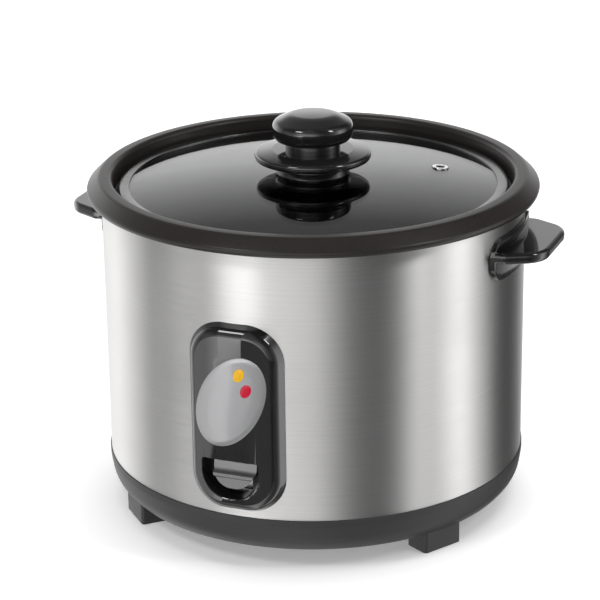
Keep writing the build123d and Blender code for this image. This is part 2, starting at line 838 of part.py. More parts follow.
def make_sensor_spring():
    wire = 0.6
    middle = (guide_radius + guide_sheet + cap_disc_radius - cap_sheet) / 2
    return coil_spring(middle, wire, liner_floor + liner_wall + 0.1, cap_under - 0.1, 4)


def make_magnet():
    return ring(magnet_bore, magnet_radius, magnet_bottom, magnet_top)


def make_magnet_rod():
    """Yoke under the magnet and the rod that the lever lifts."""
    yoke = rod(yoke_radius, yoke_bottom, magnet_bottom)
    return yoke + rod(rod_radius, yoke_bottom - rod_length, magnet_bottom)


def make_magnet_spring():
    return coil_spring(magnet_bore - 1.0, 0.4, magnet_bottom + 0.1, cap_under - 0.1, 6)


def make_rod_clips():
    """Two collars, above and below the lever's fork."""
    upper = lever_level + lever_sheet + clip_gap
    lower = lever_level - clip_gap - clip_thickness
    clips = []
    for low in (upper, lower):
        clips.append(ring(rod_radius, clip_radius, low, low + clip_thickness))
    return joined(clips)


# ---- Switch lever ---------------------------------------------------------------------------


def bracket_screw_places():
    return [(-6.0, pivot_y + 12), (6.0, pivot_y + 12)]


def switch_middle():
    return pivot_y - switch_arm


def make_bracket():
    """Folded bracket under the liner, with two ears for the pin and the micro switch."""
    half = bracket_half_width
    top = block((-half, half), (pivot_y - bracket_length / 2, pivot_y + bracket_length / 2),
                (liner_bottom - bracket_sheet, liner_bottom))
    ear_low = pivot_level - 5.5
    side = outline((pivot_y + 8, liner_bottom - 0.5), (pivot_y + 8, ear_low, 5), (pivot_y - 6, ear_low, 1),
                   (pivot_y - 9, ear_low - 6, 2), (switch_middle() - 5, ear_low - 6, 2),
                   (switch_middle() - 5, lever_level - 0.5, 2), (pivot_y - 10, liner_bottom - 0.5))
    plane = Plane(origin=(half - bracket_sheet, 0, 0), x_dir=(0, 1, 0), z_dir=(1, 0, 0))
    ear = extrude(plane * side, bracket_sheet)
    bracket = fused([top, ear, mirror(ear, Plane.YZ)])
    bracket -= rod_x(pin_radius, -half - 1, half + 1, pivot_y, pivot_level)
    bracket -= rod_x(1.0, -half - 1, half + 1, switch_middle(), switch_bottom() + 3)
    for x, y in bracket_screw_places():
        bracket -= rod(screw_radius + screw_clearance, liner_bottom - 5, liner_bottom + 1, x, y)
    return bracket


def make_bracket_screws():
    head = liner_bottom - bracket_sheet - screw_head_height
    return joined([screw_up(x, y, head, 8) for x, y in bracket_screw_places()])


def make_lever_pin():
    half = bracket_half_width
    pin = rod_x(pin_radius, -half - 1.6, half, pivot_y, pivot_level)
    return pin + rod_x(pin_radius + 1.3, half, half + 1.2, pivot_y, pivot_level)


def make_lever():
    """Bent steel strip: fork at the magnet rod, ears on the pin, riser and tongue to the paddle."""
    w = lever_half_width
    wide = lever_ear_half_width
    half_ear = lever_ear_length / 2
    front = lever_riser_y
    shape = outline((-w, front), (w, front), (w, pivot_y - 8), (wide, pivot_y - half_ear - 1),
                    (wide, pivot_y + half_ear + 1), (w, pivot_y + 10), (w, -14), (wide, -10),
                    (wide, fork_end, 2),
                    (fork_half_width, fork_end), (fork_half_width, -4, 2.9), (-fork_half_width, -4, 2.9),
                    (-fork_half_width, fork_end), (-wide, fork_end, 2), (-wide, -10), (-w, -14),
                    (-w, pivot_y + 10), (-wide, pivot_y + half_ear + 1), (-wide, pivot_y - half_ear - 1),
                    (-w, pivot_y - 8))
    arm = Pos(0, 0, lever_level) * extrude(shape, lever_sheet)
    riser = block((-w, w), (front - lever_sheet, front), (lever_level, lever_tongue_level + lever_sheet))
    tongue = block((-w, w), (front - lever_tongue_reach, front),
                   (lever_tongue_level, lever_tongue_level + lever_sheet))
    ear = block((wide - lever_sheet, wide), (pivot_y - half_ear, pivot_y + half_ear),
                (lever_level - lever_ear_drop, lever_level + lever_sheet / 2))
    lever = fused([arm, riser, tongue, ear, mirror(ear, Plane.YZ)])
    return lever - rod_x(pin_radius + running_gap, -wide - 1, wide + 1, pivot_y, pivot_level)


def make_paddle(lever):
    """Finger paddle: hollowed upper part, a ridge and a half-round lip below."""
    back = -panel_face + recess_depth - paddle_back_gap
    ridge = lever_tongue_level + 3.6
    top = recess_top - paddle_side_gap + paddle_lift
    profile = outline((back, top), (back - 1.6, top, 0.6), (back - 2.4, ridge + 1.6, 2.0),
                      (back - 5.6, ridge + 0.9, 0.6), (back - 6.2, ridge - 0.6, 0.6),
                      (back - 4.6, ridge - 1.6, 0.8), (back - 7.0, ridge - 8, 0.5),
                      (back - 5.4, ridge - 8, 0.5), (back, ridge - 4.4, 0.5))
    half = recess_width / 2 - paddle_side_gap
    plane = Plane(origin=(recess_shift - half, 0, 0), x_dir=(0, 1, 0), z_dir=(1, 0, 0))
    solid = extrude(plane * profile, 2 * half)
    solid &= Pos(0, 0, paddle_lift) * recess_shape(-paddle_side_gap, -panel_face - 5, -body_radius + 15)
    return solid - lever


def switch_bottom():
    return lever_level - 2.5 - switch_height


def make_switch_body():
    half = bracket_half_width - bracket_sheet
    y = switch_middle()
    low = switch_bottom()
    body = block((-half, half), (y - switch_depth / 2, y + switch_depth / 2), (low, low + switch_height))
    body -= rod(plunger_radius + plunger_gap, lever_level - 6.8, lever_level, 0, y)
    return body - rod_x(1.0, -half - 1, half + 1, y, low + 3)


def make_switch_plunger():
    return rod(plunger_radius, lever_level - 5.0, lever_level - seat_gap, 0, switch_middle())


def make_switch_screws():
    y = switch_middle()
    half = bracket_half_width
    screws = []
    for side in (-1, 1):
        low, high = sorted((side * half, side * (half + 1.2)))
        head = rod_x(2.0, low, high, y, switch_bottom() + 3)
        low, high = sorted((side * (half - 5), side * half))
        screws.append(head + rod_x(1.0, low, high, y, switch_bottom() + 3))
    return joined(screws)


# ---- Power inlet and wiring -----------------------------------------------------------------


def inlet_back_y():
    return body_radius - inlet_reach_in


def make_inlet():
    """Three-pin appliance inlet with a flange on the wrap."""
    half = inlet_flange_width / 2
    half_high = inlet_flange_height / 2
    mouth = body_radius + inlet_flange_thickness
    flange = block((-half, half), (body_radius - 10, mouth),
                   (inlet_level - half_high, inlet_level + half_high))
    flange = fillet(flange.edges().filter_by(Axis.Y), 5.0)
    flange -= rod(body_radius, inlet_level - 30, inlet_level + 30)
    body = block((-inlet_width / 2, inlet_width / 2), (inlet_back_y(), mouth - 0.5),
                 (inlet_level - inlet_height / 2, inlet_level + inlet_height / 2))
    inlet = flange + fillet(body.edges().filter_by(Axis.Y), 2.5)
    half_wide = inlet_width / 2 - inlet_wall
    half_tall = inlet_height / 2 - inlet_wall
    cavity = block((-half_wide, half_wide), (inlet_back_y() + inlet_back, mouth + 1),
                   (inlet_level - half_tall, inlet_level + half_tall))
    inlet -= fillet(cavity.edges().filter_by(Axis.Y), 2.0)
    for pin in inlet_pin_bars():
        inlet -= pin
    for x, z in inlet_screw_places():
        inlet -= rod_y(screw_radius + screw_clearance, 90, mouth + 1, x, z)
    return inlet


def inlet_pin_bars():
    """Live, neutral and earth blades, which end in tabs inside the body."""
    back = inlet_back_y()
    bars = []
    tip = back + inlet_back + inlet_pin_length
    for x, z in ((-inlet_pin_spread, -2.0), (inlet_pin_spread, -2.0), (0.0, 2.5)):
        half = inlet_pin_width / 2
        tall = inlet_pin_height / 2
        bars.append(block((x - half, x + half), (back - inlet_tab_length, tip),
                          (inlet_level + z - tall, inlet_level + z + tall)))
    return bars


def make_inlet_screws():
    mouth = body_radius + inlet_flange_thickness
    screws = []
    for x, z in inlet_screw_places():
        head = rod_y(screw_head_radius, mouth, mouth + 1.8, x, z)
        screws.append(head + rod_y(screw_radius, mouth - 9, mouth, x, z))
    return joined(screws)


def terminal_y():
    return 52.0, 66.0


def make_terminal_block():
    """Three-way connector block on the base's floor."""
    front, back = terminal_y()
    body = block((-16, 16), (front, back), (floor_top, floor_top + 14))
    for x in (-10, 0, 10):
        body -= rod_y(wire_radius + 0.2, front - 1, back + 1, x, floor_top + 6)
        body -= rod(1.8, floor_top + 9.5, floor_top + 15, x, (front + back) / 2)
    return body


def make_wires():
    """Insulated leads, each a smooth run that ends square to its terminal."""
    tab = inlet_back_y() - inlet_tab_length
    front, back = terminal_y()
    low = floor_top + 6
    level = inlet_level - 2
    near_switch = switch_middle() + switch_depth / 2
    live = lead([(-inlet_pin_spread, tab, level), (-inlet_pin_spread, tab - 6.5, level),
                 (-8.5, tab - 14, level - 8), (-10, tab - 15, level - 18), (-10, back + 9, low),
                 (-10, back - 3, low)])
    neutral = lead([(inlet_pin_spread, tab, level), (inlet_pin_spread, tab - 6.5, level),
                    (9, tab - 13.5, level - 9), (10, tab - 14, level - 18), (10, back + 8, low),
                    (10, back - 3, low)])
    switch = lead([(-10, front + 3, low), (-10, front - 9, low), (-17, front - 26, low + 1),
                   (-22, front - 52, low), (-24, front - 84, low + 1.5), (-21, front - 112, low),
                   (-13, front - 124, low + 2), (-5, near_switch + 8, low + 4), (-5, near_switch, low + 4)])
    end_x, end_y = element_ends()[0]
    pin_low = plate_bottom - element_pin_length
    heater = lead([(10, front + 3, low), (10, front - 6, low), (17, front - 12, low + 1),
                   (25, front - 8, low + 2), (end_x + 2, front + 2, low + 5), (end_x, end_y, pin_low - 9),
                   (end_x, end_y, pin_low)])
    return {"wire_live": live, "wire_neutral": neutral, "wire_switch": switch, "wire_heater": heater}


# ---- Pot and lid ----------------------------------------------------------------------------


def make_pot():
    """Coated pot with a lid seat, a shoulder and a wide flared rim that ends in a curl."""
    middle = pot_radius - pot_wall / 2
    level = pot_bottom + pot_wall / 2
    land = seat_middle + pot_shoulder_height
    edge = land - rim_edge_drop
    path = [(0, level), (middle, level, pot_corner), (middle, seat_middle, 1.6),
            (shoulder_radius - 0.4, seat_middle, 2.0), (shoulder_radius, land, 1.7),
            (rim_crest_radius, land - 0.1, 2.4), (rim_outer_radius, edge, 1.4),
            (rim_outer_radius - rim_curl, edge - rim_curl_drop)]
    return spun_sheet(path, pot_wall)


def glass_section(top_middle, inner, outer):
    """Section of the domed glass between two radii."""
    def height(radius, crown):
        return crown - dome_radius + math.sqrt(dome_radius**2 - radius**2)
    mid = (inner + outer) / 2
    points = []
    for crown in (top_middle, top_middle - glass_thickness):
        points.append([(r, height(r, crown)) for r in (inner, mid, outer)])
    upper, lower = points
    edges = [Edge.make_three_point_arc(*[Vector(*p) for p in upper]),
             Edge.make_line(Vector(*upper[2]), Vector(*lower[2])),
             Edge.make_three_point_arc(*[Vector(*p) for p in lower]),
             Edge.make_line(Vector(*lower[0]), Vector(*upper[0]))]
    return make_face(edges)


def vent_place():
    a = math.radians(vent_angle)
    return vent_radius * math.sin(a), -vent_radius * math.cos(a)


def glass_height(radius):
    """Top of the glass at a radius."""
    return glass_top - dome_radius + math.sqrt(dome_radius**2 - radius**2)


def make_glass():
    section = glass_section(glass_top, knob_screw_radius + 0.4, glass_radius)
    glass = revolve(Plane.XZ * section, Axis.Z)
    return glass - vent_plane() * rod(vent_bore, -5, glass_thickness + 5)


def make_lid_rim():
    """Rolled steel channel round the glass."""
    t = lid_rim_sheet
    inner = lid_rim_radius - lid_rim_band
    top = glass_edge_top + 0.5
    under_inner = lid_rim_radius - lid_rim_band + 1.5
    rise = glass_height(inner) - glass_edge_top
    return turned((under_inner, lid_bottom), (lid_rim_radius, lid_bottom, 1.0),
                  (lid_rim_radius, top + t, 1.6), (lid_rim_radius - 2.4, top + t + 0.3, 1.0),
                  (inner, glass_edge_top + rise + t), (inner, glass_edge_top + rise + 0.05),
                  (glass_radius, glass_edge_top + 0.05), (glass_radius + 0.3, glass_edge_top + 0.3),
                  (glass_radius + 0.3, glass_edge_bottom), (under_inner, glass_edge_bottom))


def vent_plane():
    """Square to the glass, under the steam hole."""
    x, y = vent_place()
    lean = vent_radius / dome_radius
    low = glass_height(vent_radius) - glass_thickness
    upright = math.sqrt(1 - lean**2)
    return Plane(origin=(x, y, low), z_dir=(x / vent_radius * lean, y / vent_radius * lean, upright))


def make_vent():
    """Steel eyelet in the steam hole."""
    shank = vent_bore - vent_gap
    low = -vent_flange_thickness
    high = glass_thickness + vent_flange_thickness
    under = vent_flange - 0.6
    eyelet = turned((shank - vent_sheet, low), (under, low, 0.2), (under, -running_gap),
                    (shank, -running_gap), (shank, glass_thickness + running_gap),
                    (vent_flange, glass_thickness + running_gap),
                    (vent_flange, high, 0.5), (shank - vent_sheet, high, 0.5))
    return vent_plane() * eyelet


def make_guard():
    """Flared guard under the knob; its base rests on the glass on a narrow ring."""
    low = glass_height(knob_base_radius) + running_gap
    waist = glass_top + knob_base_height
    top = waist + guard_thickness
    relief = glass_top + seat_gap
    foot = knob_base_radius - guard_foot_width
    guard = turned((0, relief), (foot - 0.5, relief), (foot, low), (knob_base_radius, low),
                   (knob_base_radius - 1.0, waist, 3.0), (guard_radius, waist + 1.0, 2.0),
                   (guard_radius, waist + 5.2, 1.9), (guard_top_radius, top, 4.0), (0, top))
    return guard - rod(knob_screw_radius + 0.2, low - 1, top + 1)


def make_knob():
    """Neck and domed cap, threaded for the knob's screw."""
    neck_low = glass_top + knob_base_height + guard_thickness
    side_low = neck_low + neck_height
    top = side_low + cap_height
    knob = turned((0, neck_low), (neck_radius, neck_low), (neck_radius, side_low - 0.8, 0.8),
                  (cap_radius - 1.8, side_low - 0.8, 1.2), (cap_radius, side_low + 1.6, 1.2),
                  (cap_radius, side_low + 9.2, 4.6), (cap_radius * 0.58, top - 0.5, 14), (0, top))
    bore_top = glass_top - glass_thickness + knob_screw_reach + 4
    return knob - rod(knob_screw_radius, neck_low - 1, bore_top)


def washer_bottom():
    return glass_top - glass_thickness - 2.6


def make_knob_washer():
    """Soft washer under the glass."""
    washer = ring(knob_screw_radius + 0.1, 9.0, washer_bottom(), glass_top)
    dome = revolve(Plane.XZ * glass_section(glass_top, 0.001, 20), Axis.Z)
    cut = washer - dome
    return cut.solids().sort_by(Axis.Z)[0]


def make_knob_screw():
    head_low = washer_bottom() - 2.4
    head = rod(knob_screw_head, head_low, washer_bottom())
    tip = glass_top - glass_thickness + knob_screw_reach + 3
    return head + rod(knob_screw_radius - 0.05, washer_bottom() - 0.1, tip)


# ---- Build ----------------------------------------------------------------------------------


def build():
    """Every sub-part by node name."""
    pan = make_base_pan()
    lever = make_lever()
    handle = make_handle()
    parts = {
        "outer_shell": make_outer_shell(),
        "base_pan": pan,
        "inner_liner": make_liner(),
        "base_posts": make_base_posts(),
        "base_screws": make_base_screws(),
        "foot_screws": make_foot_screws(),
        "handle_right": handle,
        "handle_left": Rot(0, 0, 180) * handle,
        "handle_screws": make_handle_screws(),
        "panel_bezel": make_panel(),
        "badge_plate": make_badge(),
        "warm_lens": make_lens(warm_lens_place),
        "cook_lens": make_lens(cook_lens_place),
        "lamp_holder": make_lamp_holder(),
        "warm_lamp": make_lamp(warm_lens_place),
        "cook_lamp": make_lamp(cook_lens_place),
        "panel_screws": make_panel_screws(),
        "heating_plate": make_heating_plate(),
        "heating_element": make_element(),
        "plate_spacers": make_spacers(),
        "plate_screws": make_plate_screws(),
        "warm_heater_band": make_warm_band(),
        "thermal_fuse": make_thermal_fuse(),
        "fuse_clip": make_fuse_clip(),
        "sensor_guide": make_sensor_guide(),
        "sensor_cap": make_sensor_cap(),
        "sensor_ferrite": make_ferrite(),
        "sensor_spring": make_sensor_spring(),
        "magnet": make_magnet(),
        "magnet_rod": make_magnet_rod(),
        "magnet_spring": make_magnet_spring(),
        "rod_clips": make_rod_clips(),
        "lever_bracket": make_bracket(),
        "bracket_screws": make_bracket_screws(),
        "lever_pin": make_lever_pin(),
        "switch_lever": lever,
        "switch_paddle": make_paddle(lever),
        "micro_switch": make_switch_body(),
        "switch_plunger": make_switch_plunger(),
        "switch_screws": make_switch_screws(),
        "power_inlet": make_inlet(),
        "inlet_pins": joined(inlet_pin_bars()),
        "inlet_screws": make_inlet_screws(),
        "terminal_block": make_terminal_block(),
        "cooking_pot": make_pot(),
        "lid_glass": make_glass(),
        "lid_rim": make_lid_rim(),
        "lid_vent": make_vent(),
        "knob_guard": make_guard(),
        "lid_knob": make_knob(),
        "knob_washer": make_knob_washer(),
        "knob_screw": make_knob_screw(),
    }
    places = ("front_left", "front_right", "rear_left", "rear_right")
    for place, angle in zip(places, foot_angles()):
        parts["foot_" + place] = make_foot(angle)
    parts.update(make_wires())
    return parts


os.makedirs("parts", exist_ok=True)
for name, shape in build().items():
    export_step(shape, os.path.join("parts", name + ".step"))
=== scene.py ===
# %% [markdown]
# # A rice cooker, piece by piece
# The measured model of the cooker is the frame: its nodes say where every part is and how it moves.
# This script gives each part that can be seen its smooth shape and its finish, and lights it in a
# small studio. Lengths are in millimetres in the code and become metres where Blender needs them.

# %% Load the frame
import bpy
import math
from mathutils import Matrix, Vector


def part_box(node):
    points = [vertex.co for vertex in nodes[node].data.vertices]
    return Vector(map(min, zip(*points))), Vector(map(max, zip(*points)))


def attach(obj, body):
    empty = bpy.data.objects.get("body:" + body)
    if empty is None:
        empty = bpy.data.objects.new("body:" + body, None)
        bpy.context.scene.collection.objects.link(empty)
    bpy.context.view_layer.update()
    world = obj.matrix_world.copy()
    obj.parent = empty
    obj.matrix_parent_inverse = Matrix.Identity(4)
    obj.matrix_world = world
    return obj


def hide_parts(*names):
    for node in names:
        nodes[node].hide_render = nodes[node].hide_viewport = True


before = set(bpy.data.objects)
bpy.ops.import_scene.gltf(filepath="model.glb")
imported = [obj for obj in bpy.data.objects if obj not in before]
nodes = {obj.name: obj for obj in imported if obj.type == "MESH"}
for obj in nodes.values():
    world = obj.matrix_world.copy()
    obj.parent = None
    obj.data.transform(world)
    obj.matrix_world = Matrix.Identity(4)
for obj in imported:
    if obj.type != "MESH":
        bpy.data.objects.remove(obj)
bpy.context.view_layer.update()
MM = 0.001

# %% [markdown]
# ## The camera
# The cooker is seen from a little above and from its own right, with a long lens, so that the round
# body stays round. The camera points at the middle of the body's height. Its shift only frames the
# picture, and its small roll is how a hand-levelled camera really stands.

# %% The camera
camera_side = math.radians(21.0)
camera_reach = 1282.8 * MM
camera_height = 587.9 * MM
camera_aim = Vector((0, 0, 114 * MM))
camera_roll = math.radians(-0.659)

bpy.ops.object.select_all(action="DESELECT")
camera_place = Vector((camera_reach * math.sin(camera_side), -camera_reach * math.cos(camera_side),
                       camera_height))
bpy.ops.object.camera_add(location=camera_place)
camera = bpy.context.object
camera.name = "studio_camera"
camera.rotation_euler = (camera_aim - camera_place).to_track_quat("-Z", "Y").to_euler()
bpy.ops.object.select_all(action="DESELECT")
camera.rotation_euler.rotate_axis("Z", camera_roll)
camera.data.lens = 142.1
camera.data.sensor_width = 36
camera.data.shift_x = -0.0244
camera.data.shift_y = 0.0029
camera.data.clip_end = 20
bpy.context.scene.camera = camera
print("camera to body, in metres:", round((camera_aim - camera_place).length, 3))

# %% [markdown]
# ## The studio
# A pale floor runs past the edges of the picture. Brushed steel shows its lights as upright bands, so
# tall soft panels stand round the cooker with dark gaps between them. Each panel is placed by its
# angle from the camera, because that is what decides where its band falls on a round body. A low
# bright horizon behind the cooker gives the glass lid its pale far edge, and the darker sky above it
# leaves the near part of the glass deep.

# %% The colours are shown as they are lit
bpy.context.scene.view_settings.view_transform = "Standard"
bpy.context.scene.view_settings.exposure = 0.0

# %% Wrap a shader socket so that maths reads as maths
class Flow:
    """A socket of one material's nodes, with the operators used in this script."""

    def __init__(self, tree, socket):
        self.tree = tree
        self.socket = socket

    def make(self, kind, settings=None, out=0, **inputs):
        """Add any node: its settings first, then its inputs, named with _ for each space."""
        node = self.tree.nodes.new(kind)
        for name, value in (settings or {}).items():
            if name == "stops":
                stops = node.color_ramp.elements
                while len(stops) < len(value):
                    stops.new(1.0)
                for stop, (place, grey) in zip(stops, value):
                    stop.position = place
                    stop.color = (grey, grey, grey, 1)
            else:
                setattr(node, name, value)
        for name, value in inputs.items():
            key = int(name[1:]) if name[0] == "i" and name[1:].isdigit() else name.replace("_", " ")
            if isinstance(value, Flow):
                self.tree.links.new(value.socket, node.inputs[key])
            else:
                node.inputs[key].default_value = value
        return Flow(self.tree, node.outputs[out])

    def maths(self, operation, other=0.0):
        return self.make("ShaderNodeMath", {"operation": operation}, i0=self, i1=other)

    def __add__(self, other):
        return self.maths("ADD", other)

    def __mul__(self, other):
        return self.maths("MULTIPLY", other)

    def __sub__(self, other):
        return self.maths("SUBTRACT", other)

    def __rsub__(self, other):
        return self.make("ShaderNodeMath", {"operation": "SUBTRACT"}, i0=other, i1=self)

    __radd__ = __add__
    __rmul__ = __mul__

    def blend(self, low, high):
        """A colour between two colours, by this number."""
        return self.make("ShaderNodeMix", {"data_type": "RGBA"}, out=2, i0=self, i6=low, i7=high)


# %% The floor and the sky
bpy.ops.object.select_all(action="DESELECT")
bpy.ops.mesh.primitive_circle_add(vertices=96, radius=2, fill_type="NGON", location=(0, 0, -0.0002))
floor = bpy.context.object
floor.name = "studio_floor"

floor_paint = bpy.data.materials.new("studio_floor")
floor_paint.use_nodes = True
floor_shader = floor_paint.node_tree.nodes["Principled BSDF"]
floor_shader.inputs["Roughness"].default_value = 0.7
floor_shader.inputs["Specular IOR Level"].default_value = 0.1
floor_shader.inputs["Emission Color"].default_value = (1, 1, 1, 1)
floor_shader.inputs["Emission Strength"].default_value = 0.24
flow = Flow(floor_paint.node_tree, None)
floor_place = flow.make("ShaderNodeTexCoord", out=3)
floor_grain = flow.make("ShaderNodeTexNoise", Vector=floor_place, Scale=3.0, Detail=2.0)
floor_tint = floor_grain.blend((0.93, 0.93, 0.93, 1), (0.96, 0.96, 0.96, 1))
floor_paint.node_tree.links.new(floor_tint.socket, floor_shader.inputs["Base Color"])
floor.data.materials.append(floor_paint)

floor.visible_glossy = False  # gloss and steel see the panels' lower ends, not the floor
print("floor across, in metres:", floor.dimensions.x)

# %% The ring of panels
sky = bpy.data.worlds.new("studio_sky")
sky.use_nodes = True
bpy.context.scene.world = sky
flow = Flow(sky.node_tree, None)
direction = flow.make("ShaderNodeTexCoord")
east, north, up = (flow.make("ShaderNodeSeparateXYZ", out=k, i0=direction) for k in range(3))
around = (east.maths("ARCTAN2", north * -1.0) * (0.5 / math.pi)
          + (0.5 - camera_side / (2 * math.pi))).maths("FRACT")
# degrees to the camera's right, and the brightness there
panels = ((-180, 1.3), (-152, 1.45), (-130, 2.0), (-94, 0.42), (-76, 0.70), (-58, 0.66), (-32, 2.9),
          (-16, 2.4), (0, 2.1), (20, 0.52), (36, 0.18), (56, 0.46), (70, 1.25), (84, 3.0), (94, 1.8),
          (112, 0.24), (126, 0.08), (140, 0.16), (158, 1.0), (180, 1.3))
panel_stops = [((degrees + 180) / 360, bright) for degrees, bright in panels]
bands = flow.make("ShaderNodeValToRGB", {"stops": panel_stops}, Fac=around)
height_stops = ((0.0, 0.75), (0.5, 1.0), (0.62, 1.0), (0.74, 0.25), (1.0, 0.12))  # from below to overhead
height = flow.make("ShaderNodeValToRGB", {"stops": height_stops}, Fac=up * 0.5 + 0.5)
ring_light = flow.make("ShaderNodeMix", {"data_type": "RGBA", "blend_type": "MULTIPLY"}, out=2, i0=1.0,
                       i6=bands, i7=height)


def window(value, low, high, soft):
    """One between two values and nothing outside them, with soft sides."""
    opens, closes = (value.make("ShaderNodeMapRange", {"interpolation_type": "SMOOTHSTEP"}, Value=value,
                                From_Min=edge - soft, From_Max=edge + soft) for edge in (low, high))
    return opens * (1.0 - closes)


# a low dark screen in front and a pale card beside it: the panel's face shows where they meet
leaning = around - (up + 0.35) * 0.25
card_edge, meeting_edge, screen_edge = 92 / 360, 138 / 360, 214 / 360
low_down = window(up, -0.62, -0.16, 0.02)
screen = window(leaning, meeting_edge, screen_edge, 0.002) * low_down
card = window(leaning, card_edge, meeting_edge, 0.002) * low_down
sky_light = flow.make("ShaderNodeMix", {"data_type": "RGBA", "blend_type": "MULTIPLY"}, out=2, i0=1.0,
                      i6=ring_light, i7=screen * -0.88 + card * 1.6 + 1.0)
# the panels light the cooker and show in its gloss, and what lies behind it is plain white
seen = flow.make("ShaderNodeLightPath", out=0)
sky_colour = seen.blend(sky_light, (1, 1, 1, 1))
backdrop = sky.node_tree.nodes["Background"]
sky.node_tree.links.new(sky_colour.socket, backdrop.inputs["Color"])
backdrop.inputs["Strength"].default_value = 1.0


# %% Soft panels, each at its angle from the camera
def soft_panel(name, side, distance, height, width, tall, power):
    """An upright soft light that faces the cooker; side is degrees to the camera's right."""
    bpy.ops.object.select_all(action="DESELECT")
    turn = camera_side + math.radians(side)
    place = Vector((distance * math.sin(turn), -distance * math.cos(turn), height))
    bpy.ops.object.light_add(type="AREA", location=place)
    lamp = bpy.context.object
    lamp.name = name
    lamp.rotation_euler = (Vector((0, 0, 0.12)) - place).to_track_quat("-Z", "Y").to_euler()
    lamp.data.shape = "RECTANGLE"
    lamp.data.size = width
    lamp.data.size_y = tall
    lamp.data.energy = power
    return lamp


overhead = soft_panel("overhead_panel", 150, 0.5, 2.2, 2.4, 2.4, 50)
overhead.visible_glossy = False  # it lights the cooker without a pale sheet across the lid
soft_panel("window_light", -48, 1.3, 1.5, 0.50, 0.42, 7)
soft_panel("side_light", 62, 1.3, 1.25, 0.22, 0.50, 5)

# %% [markdown]
# ## Shaping tools
# Most of a cooker is spun or turned: the pot and the wrap are spun sheet, and the knob and the base
# are moulds turned on a lathe. So one tool draws half of a section as a line of edges and spins it
# once round the upright axis. The rest is moulded with a flat outline: a second tool draws the outline,
# fills it and pulls it to its depth. Both outlines have true rounded corners, because a highlight on
# gloss plastic sits on the rounding and nowhere else.

# %% Rounded corners in a drawn line
def rounded(*corners, turn=9.0):
    """Points of a closed outline; a corner's third number is its radius, drawn as a short arc."""
    points = []
    for i, corner in enumerate(corners):
        here = Vector(corner[:2])
        if len(corner) == 2 or not corner[2]:
            points.append(here)
            continue
        back = (Vector(corners[i - 1][:2]) - here).normalized()
        ahead = (Vector(corners[(i + 1) % len(corners)][:2]) - here).normalized()
        half = back.angle(ahead) / 2
        middle = here + (back + ahead).normalized() * (corner[2] / math.sin(half))
        start = here + back * (corner[2] / math.tan(half)) - middle
        end = here + ahead * (corner[2] / math.tan(half)) - middle
        sweep = math.atan2(start.cross(end), start.dot(end))
        count = max(2, math.ceil(abs(math.degrees(sweep)) / turn))
        for k in range(count + 1):
            a = sweep * k / count
            points.append(middle + Vector((start.x * math.cos(a) - start.y * math.sin(a),
                                           start.x * math.sin(a) + start.y * math.cos(a))))
    return points


def walled(*path, wall):
    """Corners of both faces of a bent sheet whose middle runs through (radius, height[, bend])."""
    faces = ([], [])
    for i, point in enumerate(path):
        here = Vector(point[:2])
        before = Vector(path[max(i - 1, 0)][:2])
        after = Vector(path[min(i + 1, len(path) - 1)][:2])
        into = (here - before).normalized() if i else (after - here).normalized()
        out = (after - here).normalized() if i < len(path) - 1 else into
        square = Vector((-out.y, out.x))
        side = (Vector((-into.y, into.x)) + square).normalized()
        reach = wall / 2 / side.dot(square)
        bend = point[2] if len(point) > 2 else 0
        for face, way in zip(faces, (1, -1)):
            inside = way * into.cross(out) > 0
            radius = max(bend - wall / 2, 0) if inside else (bend + wall / 2 if bend else 0)
            face.append((here.x + side.x * reach * way, here.y + side.y * reach * way, radius))
    return faces[0] + faces[1][::-1]


# %% Draw a line of edges, spin it, or fill it
def traced(name, places):
    """A new object with one line of edges through (x, y, z) places in millimetres."""
    bpy.ops.object.select_all(action="DESELECT")
    bpy.ops.mesh.primitive_plane_add(size=0.001)
    piece = bpy.context.object
    piece.name = name
    piece.data.name = name
    bpy.ops.object.mode_set(mode="EDIT")
    bpy.ops.mesh.select_all(action="SELECT")
    bpy.ops.mesh.merge(type="CENTER")
    bpy.ops.transform.translate(value=Vector(places[0]) * MM)
    for here, there in zip(places, places[1:]):
        step = (Vector(there) - Vector(here)) * MM
        bpy.ops.mesh.extrude_region_move(TRANSFORM_OT_translate={"value": step})
    return piece


def closed_up(angle=35.0):
    """Merge the seams, turn the faces outwards and shade the piece that is in edit mode."""
    bpy.ops.mesh.select_all(action="SELECT")
    bpy.ops.mesh.remove_doubles(threshold=2e-6)
    bpy.ops.mesh.normals_make_consistent(inside=False)
    bpy.ops.object.mode_set(mode="OBJECT")
    bpy.ops.object.shade_smooth_by_angle(angle=math.radians(angle))


def turned(name, points, steps=192, angle=35.0):
    """A section of (radius, height) points, spun once; one that leaves the axis is closed first."""
    if points[0][0] > 0 or points[-1][0] > 0:
        points = [*points, points[0]]
    piece = traced(name, [(p[0], 0, p[1]) for p in points])
    bpy.ops.mesh.select_all(action="SELECT")
    bpy.ops.mesh.spin(steps=steps, angle=2 * math.pi, center=(0, 0, 0), axis=(0, 0, 1))
    closed_up(angle)
    return piece


def banded(name, inner, outer, low, high, steps=256):
    """A plain ring, or a disc if it reaches the axis, between two radii and two heights."""
    return turned(name, [Vector(p) for p in ((inner, low), (outer, low), (outer, high), (inner, high))], steps)


def moulded(name, points, low, high, flat="XZ", angle=35.0):
    """A flat outline pulled from one depth to another; flat names the plane it is drawn in."""
    def place(p, depth):
        return {"XZ": (p[0], depth, p[1]), "XY": (p[0], p[1], depth), "YZ": (depth, p[0], p[1])}[flat]
    piece = traced(name, [place(p, low) for p in points])
    bpy.ops.mesh.select_all(action="SELECT")
    bpy.ops.mesh.edge_face_add()
    pull = (Vector(place((0, 0), high)) - Vector(place((0, 0), low))) * MM
    bpy.ops.mesh.extrude_region_move(TRANSFORM_OT_translate={"value": pull})
    closed_up(angle)
    return piece


